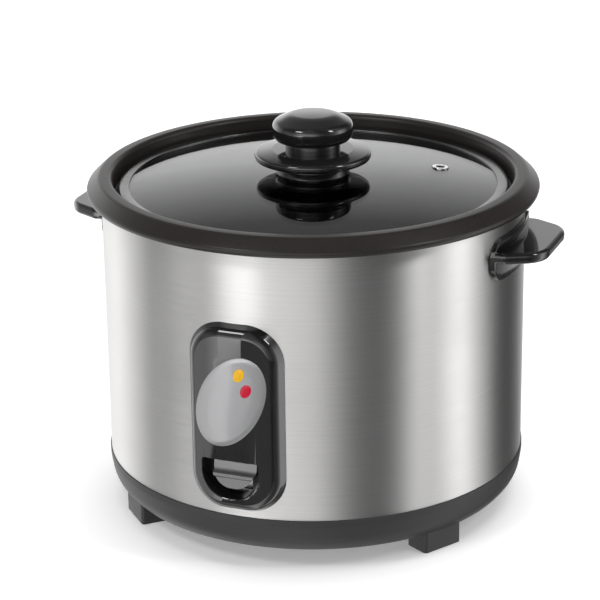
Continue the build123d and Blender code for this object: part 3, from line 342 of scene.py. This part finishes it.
# %% Modifiers that are applied at once
def alone(piece):
    """Make one object the only selected and active one."""
    bpy.ops.object.select_all(action="DESELECT")
    piece.select_set(True)
    bpy.context.view_layer.objects.active = piece
    return piece


def evened(piece):
    """Let large flat faces set the shading of the corners that they share."""
    alone(piece)
    step = piece.modifiers.new("shading", "WEIGHTED_NORMAL")
    step.keep_sharp = True
    step.weight = 100
    bpy.ops.object.modifier_apply(modifier=step.name)
    return piece


def combined(piece, tool, operation="DIFFERENCE"):
    """Cut, join or keep the shared part of two solids; the tool is then thrown away."""
    alone(piece)
    step = piece.modifiers.new("shape", "BOOLEAN")
    step.operation = operation
    step.object = tool
    step.solver = "EXACT"
    bpy.ops.object.modifier_apply(modifier=step.name)
    bpy.data.objects.remove(tool)
    return piece


def eased(piece, width, segments=3, above=30.0, shade=35.0):
    """Round every edge that is sharper than an angle."""
    alone(piece)
    step = piece.modifiers.new("edges", "BEVEL")
    step.width = width * MM
    step.segments = segments
    step.limit_method = "ANGLE"
    step.angle_limit = math.radians(above)
    step.use_clamp_overlap = True
    step.harden_normals = False
    bpy.ops.object.modifier_apply(modifier=step.name)
    bpy.ops.object.shade_smooth_by_angle(angle=math.radians(shade))
    return piece


def copied(piece, name, turn=0.0):
    """A copy with its own mesh, turned round the upright axis."""
    alone(piece)
    bpy.ops.object.duplicate()
    twin = bpy.context.object
    twin.name = name
    twin.data.name = name
    twin.rotation_euler = (0, 0, math.radians(turn))
    bpy.ops.object.transform_apply(location=True, rotation=True, scale=True)
    return twin


print("shaping tools are ready")

# %% [markdown]
# ## Finishes
# Every finish starts from the same three things: a colour that drifts a little, a roughness that
# drifts with it, and a very low bump. What tells brushed steel from moulded plastic is the shape of
# that drift. Brushing is noise stretched a long way round the body and squeezed in height. Moulded
# plastic has fine even noise, a turned casting has rings, and zinc plate has crystals. All of them
# read object coordinates, so that they stay with the piece when it moves.

# %% The finish maker
def stretched(flow, sizes):
    """Object coordinates in repeats per metre along each axis."""
    place = flow.make("ShaderNodeTexCoord", out=3)
    return flow.make("ShaderNodeVectorMath", {"operation": "MULTIPLY"}, i0=place, i1=sizes)


def drift(flow, pattern, sizes):
    """A number from 0 to 1 that drifts over the surface in the way of one pattern."""
    place = stretched(flow, sizes)
    if pattern == "crystals":
        cell = flow.make("ShaderNodeTexVoronoi", out=1, Vector=place, Scale=1.0)
        return flow.make("ShaderNodeSeparateColor", i0=cell)
    if pattern == "flecks":
        spot = flow.make("ShaderNodeTexVoronoi", Vector=place, Scale=1.0, Randomness=1.0)
        return 1.0 - spot * 1.6
    if pattern == "rings":
        return flow.make("ShaderNodeTexWave", {"wave_type": "RINGS", "rings_direction": "Z"}, out=1,
                         Vector=place, Scale=1.0, Distortion=0.6, Detail=2.0)
    noise = flow.make("ShaderNodeTexNoise", Vector=place, Scale=1.0, Detail=3.0, Roughness=0.6)
    return (noise - 0.5) * 2.2 + 0.5


def finish(name, colour, rough, pattern="noise", sizes=(900, 900, 900), vary=0.15, spread=0.08,
           bump=0.03, depth=0.05, **constants):
    """A material: colour and roughness drift over the surface, and the rest is constant."""
    paint = bpy.data.materials.new(name)
    paint.use_nodes = True
    tree = paint.node_tree
    shader = tree.nodes["Principled BSDF"]
    flow = Flow(tree, None)
    amount = drift(flow, pattern, sizes)
    cloud = drift(flow, "noise", (14, 14, 14))
    low = tuple(c * (1 - vary) for c in colour) + (1,)
    high = tuple(min(1, c * (1 + vary)) for c in colour) + (1,)
    tint = (amount * 0.7 + cloud * 0.3).blend(low, high)
    roughness = (amount + cloud - 1.0) * spread + rough
    relief = flow.make("ShaderNodeBump", Strength=bump, Distance=depth * MM, Height=amount)
    for socket, value in (("Base Color", tint), ("Roughness", roughness), ("Normal", relief)):
        tree.links.new(value.socket, shader.inputs[socket])
    for socket, value in constants.items():
        shader.inputs[socket.replace("_", " ")].default_value = value
    paint.diffuse_color = (*colour, 1)
    return paint


# %% The finishes of this cooker
steel_wrap = finish("brushed_steel", (0.60, 0.595, 0.59), 0.42, sizes=(12, 12, 1500), vary=0.09,
                    spread=0.08, bump=0.05, depth=0.004, Metallic=1.0, Anisotropic=1.0,
                    Anisotropic_Rotation=0.25)
polished_steel = finish("polished_steel", (0.72, 0.72, 0.72), 0.13, sizes=(200, 200, 900), vary=0.05,
                        spread=0.05, bump=0.02, Metallic=1.0)
gloss_black = finish("gloss_black", (0.010, 0.010, 0.010), 0.09, sizes=(700, 700, 700), vary=0.25,
                     spread=0.04, bump=0.012, Coat_Weight=0.35, Coat_Roughness=0.04)
base_grey = finish("moulded_grey", (0.028, 0.028, 0.029), 0.48, sizes=(2600, 2600, 2600), vary=0.2,
                   spread=0.08, bump=0.22, depth=0.03, Specular_IOR_Level=0.3)
pot_coating = finish("pot_coating", (0.020, 0.0175, 0.0165), 0.33, "flecks", (2200, 2200, 2200), vary=0.25,
                     spread=0.05, bump=0.02, depth=0.006, Specular_IOR_Level=0.25)
smoky_glass = finish("smoky_glass", (0.36, 0.37, 0.37), 0.02, sizes=(30, 30, 30), vary=0.03, spread=0.01,
                     bump=0.004, Transmission_Weight=1.0, IOR=1.5)
silver_lacquer = finish("silver_lacquer", (0.24, 0.24, 0.245), 0.30, sizes=(3000, 3000, 3000), vary=0.10,
                        spread=0.05, bump=0.03, Metallic=0.55, Coat_Weight=0.5, Coat_Roughness=0.06)
# painted shade: the switch paddle's silver paint, made a darker grey than the silver lacquer for its place in
# the recess
shaded_silver = finish("shaded_silver", (0.16, 0.16, 0.162), 0.34, sizes=(3000, 3000, 3000), vary=0.10,
                    spread=0.05, bump=0.03, Metallic=0.3)
# painted shade: the lid ring's steel is a darker copy of the polished steel, darkened to dim its reflections
shaded_steel = finish("shaded_steel", (0.20, 0.20, 0.20), 0.20, sizes=(200, 200, 900), vary=0.05,
                    spread=0.05, bump=0.02, Metallic=1.0)
yellow_lens = finish("yellow_lens", (0.66, 0.36, 0.001), 0.22, sizes=(300, 300, 300), vary=0.12,
                     spread=0.03, bump=0.01, Specular_IOR_Level=0.3)
red_lens = finish("red_lens", (0.42, 0.001, 0.022), 0.22, sizes=(300, 300, 300), vary=0.12,
                  spread=0.03, bump=0.01, Specular_IOR_Level=0.3)
lamp_glass = finish("lamp_glass", (0.9, 0.75, 0.6), 0.05, sizes=(200, 200, 200), vary=0.05,
                    spread=0.02, bump=0.01, Transmission_Weight=0.9, IOR=1.5)
drawn_aluminium = finish("drawn_aluminium", (0.66, 0.66, 0.67), 0.36, sizes=(120, 120, 700), vary=0.1,
                         spread=0.1, bump=0.05, Metallic=1.0)
cast_aluminium = finish("cast_aluminium", (0.58, 0.58, 0.59), 0.38, "rings", (900, 900, 900), vary=0.12,
                        spread=0.08, bump=0.25, depth=0.04, Metallic=1.0)
tinted_steel = finish("heat_tinted_steel", (0.26, 0.23, 0.20), 0.42, sizes=(120, 120, 120), vary=0.3,
                      spread=0.12, bump=0.05, Metallic=0.8)
zinc_plate = finish("zinc_plate", (0.55, 0.56, 0.57), 0.34, "crystals", (260, 260, 260), vary=0.14,
                    spread=0.12, bump=0.02, Metallic=1.0)
spring_wire = finish("spring_wire", (0.42, 0.42, 0.44), 0.28, sizes=(900, 900, 900), vary=0.1,
                     spread=0.08, bump=0.04, Metallic=1.0)
sintered = finish("sintered_black", (0.05, 0.05, 0.052), 0.62, sizes=(2000, 2000, 2000), vary=0.3,
                  spread=0.1, bump=0.3, depth=0.05)
switch_black = finish("switch_black", (0.02, 0.02, 0.02), 0.4, sizes=(1800, 1800, 1800), bump=0.12)
switch_red = finish("switch_red", (0.45, 0.02, 0.02), 0.4, sizes=(1800, 1800, 1800), bump=0.08)
brass = finish("flashed_brass", (0.70, 0.56, 0.28), 0.26, sizes=(400, 400, 1200), bump=0.05, Metallic=1.0)
ceramic = finish("glazed_ceramic", (0.80, 0.78, 0.72), 0.22, sizes=(300, 300, 300), vary=0.04, bump=0.03,
                 Coat_Weight=0.5)
glass_sleeve = finish("woven_sleeve", (0.72, 0.69, 0.60), 0.8, "crystals", (1500, 1500, 1500), vary=0.2,
                      bump=0.4, depth=0.1)
silicone = finish("silicone", (0.60, 0.60, 0.57), 0.5, sizes=(800, 800, 800), vary=0.06, bump=0.05)
sleeve_colours = {"wire_live": (0.20, 0.08, 0.03), "wire_neutral": (0.05, 0.13, 0.42),
                  "wire_switch": (0.02, 0.02, 0.02), "wire_heater": (0.42, 0.02, 0.02)}
sleeves = {node: finish(node, colour, 0.45, sizes=(1200, 1200, 1200), bump=0.06)
           for node, colour in sleeve_colours.items()}
print("finishes:", len(bpy.data.materials))

# %% Give every node of the frame its finish
node_finishes = {
    "outer_shell": steel_wrap, "base_pan": base_grey, "inner_liner": drawn_aluminium,
    "heating_plate": cast_aluminium, "heating_element": tinted_steel, "warm_heater_band": zinc_plate,
    "base_posts": zinc_plate, "plate_spacers": zinc_plate, "thermal_fuse": glass_sleeve,
    "fuse_clip": zinc_plate, "sensor_guide": zinc_plate, "sensor_cap": drawn_aluminium,
    "sensor_ferrite": sintered, "magnet": sintered, "magnet_rod": brass, "rod_clips": zinc_plate,
    "sensor_spring": spring_wire, "magnet_spring": spring_wire, "lever_bracket": zinc_plate,
    "lever_pin": spring_wire, "switch_lever": zinc_plate, "switch_paddle": silver_lacquer,
    "micro_switch": switch_black, "switch_plunger": switch_red, "power_inlet": base_grey,
    "inlet_pins": brass, "terminal_block": ceramic, "lamp_holder": switch_black,
    "warm_lamp": lamp_glass, "cook_lamp": lamp_glass, "warm_lens": yellow_lens, "cook_lens": red_lens,
    "panel_bezel": gloss_black, "badge_plate": silver_lacquer, "handle_right": gloss_black,
    "handle_left": gloss_black, "cooking_pot": pot_coating, "lid_glass": smoky_glass,
    "lid_rim": polished_steel, "lid_vent": polished_steel, "knob_guard": gloss_black,
    "lid_knob": gloss_black, "knob_washer": silicone, "knob_screw": zinc_plate, **sleeves}
for name, node in nodes.items():
    is_foot = name.startswith("foot_") and "screw" not in name
    paint = node_finishes.get(name, base_grey if is_foot else zinc_plate)
    node.data.materials.clear()
    node.data.materials.append(paint)
print("nodes with a finish:", len(nodes))


# %% Hand a finished piece to the frame
def fitted(piece, paint, slot, body, *stands_for):
    """Give a piece its finish, the body it rides on and the nodes it stands for; slot is not used."""
    piece.data.materials.clear()
    piece.data.materials.append(paint)
    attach(piece, body)
    if stands_for:
        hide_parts(*stands_for)
    print(piece.name, "faces:", len(piece.data.polygons), "rides on", body)
    return piece


def span(node):
    """A node's lowest and highest corners, in millimetres."""
    low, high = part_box(node)
    return [v / MM for v in low], [v / MM for v in high]

# %% [markdown]
# ## The steel wrap
# The body is one sheet of brushed stainless steel rolled round and curled over at the top. It could be
# a cylinder with a Solidify modifier, but the curl is what catches the light under the pot's rim, so
# the section of the sheet is drawn with its bend and spun. Three openings are then cut through it: one
# for the switch recess, one for the lamps and one for the power inlet.

# %% The wrap
shell_low, shell_high = span("outer_shell")
radius, ledge, wrap_top = shell_high[0], shell_low[2], shell_high[2]
wrap_wall = 0.8
sheet_radius, sheet_top = radius - wrap_wall / 2, wrap_top - wrap_wall / 2
# rows of points up the straight side keep the shading even beside the openings
rows = (ledge, 34, 44, 54, 65, 76, 87, 98, 109, 120, 131, 142, 147)
wrap = turned("steel_wrap", rounded(*walled(
    *((sheet_radius, level) for level in rows), (sheet_radius, sheet_top, 1.6), (116.9, sheet_top),
    wall=wrap_wall), turn=15), steps=256)

recess_half, recess_top, recess_low, recess_middle = 15.75, 65.4, 44.4, -2.0


def recess_outline(grow, lift=0.0):
    """The switch recess seen from the front: a flat top and a half-round bottom."""
    half, top, low = recess_half + grow, recess_top + grow + lift, recess_low - grow + lift
    bend = min(half, top - low) * 0.9
    left, right = recess_middle - half, recess_middle + half
    return rounded((left, top, 1.5), (left, low, bend), (right, low, bend), (right, top, 1.5), turn=6)


def rounded_box(width, height, corner, x=0.0, z=0.0, turn=9.0):
    """A rounded rectangle about a middle."""
    w, h = width / 2, height / 2
    return rounded((x - w, z - h, corner), (x + w, z - h, corner), (x + w, z + h, corner),
                   (x - w, z + h, corner), turn=turn)


inlet_low, inlet_high = span("power_inlet")
inlet_level = (inlet_low[2] + inlet_high[2]) / 2
holder_low, holder_high = span("lamp_holder")
lamp_window = rounded_box(holder_high[0] - holder_low[0] + 0.6, holder_high[2] - holder_low[2] + 0.6, 0.5,
                          (holder_low[0] + holder_high[0]) / 2, (holder_low[2] + holder_high[2]) / 2)
combined(wrap, moulded("recess_way", recess_outline(1.7), -radius - 5, -radius + 15))
combined(wrap, moulded("lamp_way", lamp_window, -radius - 5, -radius + 15))
combined(wrap, moulded("inlet_way", rounded_box(27.6, 20.6, 2.5, z=inlet_level), radius - 15, radius + 5))
fitted(wrap, steel_wrap, "body_steel", "housing", "outer_shell")

# %% [markdown]
# ## The base
# The base is a moulded pan. Its side curves in towards the floor, and its top edge stands a little
# outside the steel, which shows as a thin light line. It is turned like the wrap. Its floor has a ring
# of cooling slots: one cutter is modelled, copied round and joined, so that a single cut makes them all.

# %% The base pan
pan_low, pan_high = span("base_pan")
base_low, base_radius = pan_low[2], pan_high[0]
skirt = base_radius - 5.0
underside = ((0, base_low), (skirt - 2, base_low, 3.0), (skirt + 3.4, base_low + 6.5, 14.0),
             (base_radius, ledge - 4, 3.0))
base = turned("base_moulding", rounded(
    *underside, (base_radius, ledge, 0.45), (118.9, ledge), (118.9, ledge + 4.0, 0.4),
    (117.4, ledge + 4.0, 0.4), (117.4, ledge - 1, 1.0), (115.4, 16.5, 2.0), (112.4, 13.5, 1.0), (0, 13.5)),
    steps=256)
slot = moulded("cooling_slot", rounded_box(18, 3, 1.45, x=43), base_low - 1, 15, flat="XY")
slots = [copied(slot, "cooling_slot", turn + 7.5) for turn in range(0, 360, 15)]
bpy.data.objects.remove(slot)
for one in slots:
    one.select_set(True)
bpy.ops.object.join()
combined(base, bpy.context.object)
fitted(base, base_grey, "base_plastic", "housing", "base_pan")

# %% [markdown]
# ## The feet
# Four blocks hug the rounded edge of the base. One foot is pulled up from its outline, the shape of the
# base's underside is cut out of it, its screw gets a counterbore and its edges are eased. The other
# three are copies turned to their places.

# %% The four feet
foot = moulded("foot_blank", rounded_box(16, 26, 2.0, x=106), 0, 16, flat="XY")
combined(foot, turned("base_underside", rounded(*underside, (base_radius, ledge), (0, ledge)), steps=256))
combined(foot, moulded("screw_way", rounded_box(7.2, 7.2, 3.59, x=104), -1, 4.1, flat="XY"))
eased(foot, 0.7, segments=3, above=40)
for place, turn in (("front_left", -136), ("front_right", -31), ("rear_left", 149), ("rear_right", 44)):
    one_foot = copied(foot, "foot_moulding_" + place, turn)
    fitted(one_foot, base_grey, "base_plastic", "housing", "foot_" + place)
bpy.data.objects.remove(foot)

# %% [markdown]
# ## The pot
# The pot is spun from one sheet of aluminium and coated. Its rim carries most of the look of the
# cooker: a step that seats the lid, a steep shoulder, a flat land, and a wide flare that ends in a
# curl below the top of the wrap. The whole path of the sheet is drawn once, with the radius of each
# bend, and both of its faces follow from that.

# %% The pot
pot_low, _ = span("cooking_pot")
pot_floor = pot_low[2] + 0.9
pot = turned("coated_pot", rounded(*walled(
    (0, pot_floor), (109.1, pot_floor, 21.0), (109.1, 181.0, 1.6), (114.1, 181.0, 2.0), (114.5, 193.2, 1.7),
    (120.8, 193.1, 2.4), (127.3, 187.0, 1.4), (126.5, 185.1), wall=1.8), turn=7), steps=256)
fitted(pot, pot_coating, "pot_coating", "pot", "cooking_pot")

# %% [markdown]
# ## The lid
# The lid is a shallow dome of tempered glass held in a rolled steel ring. The dome is part of a large
# ball, so both faces of the glass are arcs of one centre, and the glass has its real thickness: that
# is what bends the pot's far wall and gives the edge its line. The ring is turned from its section. A
# steel eyelet lines the steam hole and stands square to the dome.

# %% The glass
_, glass_high = span("lid_glass")
crown, dome = glass_high[2], 861.5
glass_wall, glass_edge = 3.4, 109.6


def glass_top(r):
    """Height of the glass's upper face at a radius."""
    return crown - dome + math.sqrt(dome * dome - r * r)


across = [2.9 + (glass_edge - 2.9) * k / 28 for k in range(29)]
upper = [(r, glass_top(r)) for r in across]
under = [(r, glass_top(r) - glass_wall) for r in reversed(across)]
glass = turned("glass_dome", [Vector(p) for p in upper + under], steps=192)
vent_low, vent_high = span("lid_vent")
vent_x, vent_y = (vent_low[0] + vent_high[0]) / 2, (vent_low[1] + vent_high[1]) / 2
vent_reach = math.hypot(vent_x, vent_y)


def set_square(piece):
    """Carry a piece from the axis to the steam hole and lean it square to the dome."""
    alone(piece)
    piece.location = Vector((vent_x, vent_y, glass_top(vent_reach) - glass_wall)) * MM
    piece.rotation_euler = Vector((vent_x, vent_y, math.sqrt(dome**2 - vent_reach**2))).to_track_quat(
        "Z", "Y").to_euler()
    bpy.ops.object.transform_apply(location=True, rotation=True, scale=True)
    return piece


combined(glass, set_square(banded("vent_way", 0, 3.4, -5, 9, steps=48)))
fitted(glass, smoky_glass, "lid_glass", "lid", "lid_glass")

# %% The ring and the steam eyelet
ring_low, ring_high = span("lid_rim")
ring_radius, ring_base = ring_high[0], ring_low[2]
ring_lip = 104.2
ring = turned("lid_ring", rounded(
    (105.7, ring_base), (ring_radius, ring_base, 1.0), (ring_radius, 187.3, 1.6), (108.2, 187.6, 1.0),
    (ring_lip, glass_top(ring_lip) + 0.6, 0.25), (ring_lip, glass_top(ring_lip) + 0.05),
    (109.6, 186.25), (109.9, 186.5), (109.9, 182.8), (105.7, 182.8)), steps=256)
# the ring wears the darkened steel, which is painted shade rather than a darker metal
fitted(ring, shaded_steel, "lid_steel", "lid", "lid_rim")
eyelet = set_square(turned("steam_eyelet", rounded(
    (2.5, -0.8, 0.2), (4.1, -0.8, 0.2), (4.1, -0.05), (3.3, -0.05), (3.3, 3.45), (4.7, 3.45), (4.7, 4.2, 0.4),
    (2.5, 4.2, 0.4)), steps=64))
fitted(eyelet, polished_steel, "lid_steel", "lid", "lid_vent")

# %% [markdown]
# ## The knob
# The knob is two mouldings: a flared guard that keeps fingers off the glass, and a domed cap on a
# short neck. Gloss black shows nothing but highlights, so the roundings matter more than the sizes.
# Each is turned from a closed section whose corners have the radius of the real edge.

# %% The guard and the cap
_, guard_high = span("knob_guard")
_, knob_high = span("lid_knob")
guard_top, knob_top = guard_high[2], knob_high[2]
foot_level = glass_top(21.0) + 0.05
guard = turned("knob_collar", rounded(
    (2.7, crown + 0.3), (18.0, crown + 0.3), (18.5, foot_level), (21.0, foot_level, 0.3),
    (20.0, guard_top - 6.6, 3.0), (33.0, guard_top - 5.6, 2.0), (33.0, guard_top - 1.4, 1.9),
    (23.0, guard_top, 4.0), (2.7, guard_top)), steps=160)
fitted(guard, gloss_black, "gloss_black", "lid", "knob_guard")
side_low = guard_top + 6.7
knob = turned("knob_cap", rounded(
    (2.5, guard_top), (15.5, guard_top), (15.5, side_low - 0.8, 0.8), (20.9, side_low - 0.8, 1.2),
    (22.7, side_low + 1.6, 1.2), (22.7, side_low + 9.2, 4.6), (13.2, knob_top - 0.5, 14.0), (0, knob_top),
    (0, 215.8), (2.5, 215.8), turn=4), steps=160)
fitted(knob, gloss_black, "gloss_black", "lid", "lid_knob")

# %% [markdown]
# ## The control panel
# The panel is a gloss black moulding on a round body: an upright with round ends, sides that lean in,
# and an eased edge round its face. It could be bent to the round with a modifier, but a plain rule is
# more exact: the panel is modelled flat, with each ring of its outline at its own depth, and then
# every point is moved back to the radius that its depth stands for. The recess is cut through it with
# a flared mouth, and its cup is joined on behind.

# %% Step an outline inwards and outwards, then lay it on the round
def stepped(name, outline, depth, steps):
    """A closed solid from an outline facing the front, whose face is inset and raised in steps.

    depth and each step's second number are distances from the upright axis; a step's first number is
    how far it lies inside the outline."""
    piece = traced(name, [(p[0], -depth, p[1]) for p in outline])
    bpy.ops.mesh.select_all(action="SELECT")
    bpy.ops.mesh.edge_face_add()
    inset, level = steps[0]
    bpy.ops.mesh.extrude_region_move(TRANSFORM_OT_translate={"value": (0, -(level - depth) * MM, 0)})
    if inset:
        bpy.ops.mesh.inset(thickness=inset * MM, use_even_offset=True)
    for further, height in steps[1:]:
        if further - inset > 1e-6:
            bpy.ops.mesh.inset(thickness=(further - inset) * MM, use_even_offset=True)
        if abs(height - level) > 1e-6:
            bpy.ops.transform.translate(value=(0, -(height - level) * MM, 0))
        inset, level = further, height
    closed_up()
    return piece


def laid_round(piece, beyond=0.0):
    """Move each point that is deeper than a limit back to its radius about the upright axis."""
    for point in piece.data.vertices:
        reach = -point.co.y
        if reach > beyond * MM:
            point.co.y = -math.sqrt(reach**2 - point.co.x**2)
    piece.data.update()
    alone(piece)
    bpy.ops.object.mode_set(mode="EDIT")
    closed_up()
    return piece


panel_low, _ = span("panel_bezel")
panel_face = -panel_low[1]
panel_middle = 89.5
panel_outline = rounded_box(56.7, 110.0, 22.0, z=panel_middle, turn=3)
side_and_edge = rounded((0.23, 118.9), (3.6, 124.8, 6.0), (6.6, panel_face, 3.0), (30.0, panel_face),
                        turn=5)[:-1]
face_rings = [(inset, panel_face) for inset in (10.0, 12.0, 14.0, 16.0, 18.0, 20.0)]
panel = laid_round(stepped("panel_moulding", panel_outline, 118.6,
                           [(0.0, 118.8)] + [tuple(p) for p in side_and_edge] + face_rings))

# %% The recess, its cup and the lever's slot
recess_floor = panel_face - 11.4
cup = moulded("recess_cup", recess_outline(1.4), -122.0, -recess_floor + 1.4)
combined(panel, cup, "UNION")
mouth = laid_round(stepped("recess_mouth", recess_outline(0.9), 130.0, [
    (0.0, panel_face + 0.6), (0.0, panel_face - 0.15), (0.35, panel_face - 0.45), (0.9, panel_face - 1.1),
    (0.9, recess_floor)]), beyond=recess_floor + 1)
combined(panel, mouth)
_, tongue_high = span("switch_lever")
way_low, way_high = tongue_high[2] - 7.6, tongue_high[2] + 0.7
combined(panel, moulded("lever_way", rounded_box(13.8, way_high - way_low, 0.4, z=(way_low + way_high) / 2),
                        -recess_floor - 1, -recess_floor + 3))
evened(panel)
fitted(panel, gloss_black, "gloss_black", "housing", "panel_bezel")

# %% [markdown]
# ## The oval plate and its lamps
# A thin oval plate, lacquered silver, lies in a seat on the panel's face and leans towards one side.
# It is one outline stepped up to a small eased edge and laid on the same round as the panel. The
# two lenses are small ovals with the same lean, stepped up to a dome so that each holds its own
# highlight. The real plate carries words and the body a name, and both places are left bare here.

# %% The plate and the lenses
lean = math.radians(28.0)


def oval(long, short, x, z, count=72):
    """A leaning oval outline about a middle."""
    points = []
    for k in range(count):
        a = 2 * math.pi * k / count
        along, side = long * math.cos(a), short * math.sin(a)
        points.append(Vector((x + along * math.sin(lean) + side * math.cos(lean),
                              z + along * math.cos(lean) - side * math.sin(lean))))
    return points


badge_face = panel_face + 0.2
plate = laid_round(stepped("oval_plate", oval(28.2, 18.0, -0.8, 100.7), panel_face - 0.6, [
    (0.0, badge_face - 0.25), (0.12, badge_face - 0.07), (0.35, badge_face), (3.0, badge_face),
    (6.5, badge_face), (8.5, badge_face)]))
fitted(plate, silver_lacquer, "silver_paint", "housing", "badge_plate")
for name, node, paint, slot, x, z in (("warm_light", "warm_lens", yellow_lens, "yellow_lens", 4.7, 116.9),
                                      ("cook_light", "cook_lens", red_lens, "red_lens", 8.6, 108.2)):
    top = panel_face + 0.5
    lens = laid_round(stepped(name, oval(4.1, 2.9, x, z, count=48), panel_face - 4.0, [
        (0.0, top - 0.42), (0.06, top - 0.28), (0.2, top - 0.16), (0.5, top - 0.07), (1.1, top - 0.02),
        (1.7, top)]))
    fitted(lens, paint, slot, "housing", node)

# %% [markdown]
# ## The switch paddle
# The paddle is what the finger presses: a hollow above, a bright ridge, and a lip below with a
# half-round end. Its side section is pulled across the recess, and only what lies inside the
# recess's own outline is kept, so that its ends follow the recess. Then its edges are eased.

# %% The paddle
paddle_low, paddle_high = span("switch_paddle")
back, paddle_top = paddle_high[1], paddle_high[2]
ridge = tongue_high[2] - 1.5 + 3.6
paddle = moulded("finger_paddle", rounded(
    (back, paddle_top), (back - 1.6, paddle_top, 0.6), (back - 2.4, ridge + 1.6, 2.0),
    (back - 5.6, ridge + 0.9, 0.6), (back - 6.2, ridge - 0.6, 0.6), (back - 4.6, ridge - 1.6, 0.8),
    (back - 7.0, ridge - 8, 0.5), (back - 5.4, ridge - 8, 0.5), (back, ridge - 4.4, 0.5)),
    paddle_low[0], paddle_high[0], flat="YZ")
combined(paddle, moulded("paddle_ends", recess_outline(-3.25, lift=0.75), -130, -105), "INTERSECT")
eased(paddle, 0.35, segments=3, above=50)
evened(paddle)
# the paddle's darker grey is painted shade for the recess it sits in
fitted(paddle, shaded_silver, "silver_paint", "lever", "switch_paddle")

# %% [markdown]
# ## The handles
# Each handle is one moulding: a plate that follows the body, and a flat grip that narrows outwards and
# is hollow underneath, as moulded handles are, so that it cools evenly. The grip is pulled up from its
# outline and its edges are eased before it is cut to the round. The plate is the shared part of a
# rounded slab and a ring. The left handle is a copy of the right one, turned half a turn.

# %% The handles
grip_low, grip_high = span("handle_right")
grip_level, grip_tip = 164.5, grip_high[0]
root_half, tip_half, half_thickness = 34, 24, 3.1
handle_levels = (145, 180)
plate_wall = 2.4
grip = moulded("side_handle", rounded(
    (105, -root_half), (radius + 3, -root_half, 5), (grip_tip, -tip_half, 16), (grip_tip, tip_half, 16),
    (radius + 3, root_half, 5), (105, root_half), turn=5),
    grip_level - half_thickness, grip_level + half_thickness, flat="XY")
eased(grip, 2.1, segments=6, above=40)
pocket_start, pocket_end = radius + 10.9, grip_tip - 2.6
pocket = moulded("grip_pocket", rounded(
    (pocket_start, -26, 3), (pocket_end, -19, 10), (pocket_end, 19, 10), (pocket_start, 26, 3)),
    grip_level - 5, grip_level + 0.3, flat="XY")
combined(grip, pocket)
plate_outline = rounded_box(2 * grip_high[1], grip_high[2] - grip_low[2], 9.0,
                            z=(grip_low[2] + grip_high[2]) / 2, turn=6)
plate_slab = moulded("handle_plate", plate_outline, 95, 145, flat="YZ")
combined(plate_slab, banded("plate_round", radius, radius + plate_wall, *handle_levels), "INTERSECT")
eased(plate_slab, 0.8, segments=4, above=50)
combined(grip, banded("body_round", 0, radius, *handle_levels))
combined(grip, plate_slab, "UNION")
evened(grip)
fitted(copied(grip, "side_handle_left", 180), gloss_black, "gloss_black", "housing", "handle_left")
fitted(grip, gloss_black, "gloss_black", "housing", "handle_right")

# %% [markdown]
# ## The power inlet
# On the back is a flush inlet for a lead that comes off. Its flange lies on the wrap and its socket
# reaches inwards. It is two mouldings joined, with the mouth cut out, and the brass pins of the frame
# stay where they are inside it.

# %% The inlet
flange_face = inlet_high[1]
inlet = moulded("inlet_moulding", rounded_box(50, 24, 5.0, z=inlet_level), 110, flange_face)
combined(inlet, banded("inlet_round", 0, radius, 20, 80))
eased(inlet, 0.7, segments=3, above=50)
socket = moulded("inlet_socket", rounded_box(27, 20, 2.5, z=inlet_level), inlet_low[1], flange_face - 0.5)
combined(inlet, socket, "UNION")
combined(inlet, moulded("inlet_mouth", rounded_box(23.8, 16.8, 2.0, z=inlet_level), inlet_low[1] + 4, 130))
fitted(inlet, base_grey, "base_plastic", "housing", "power_inlet")
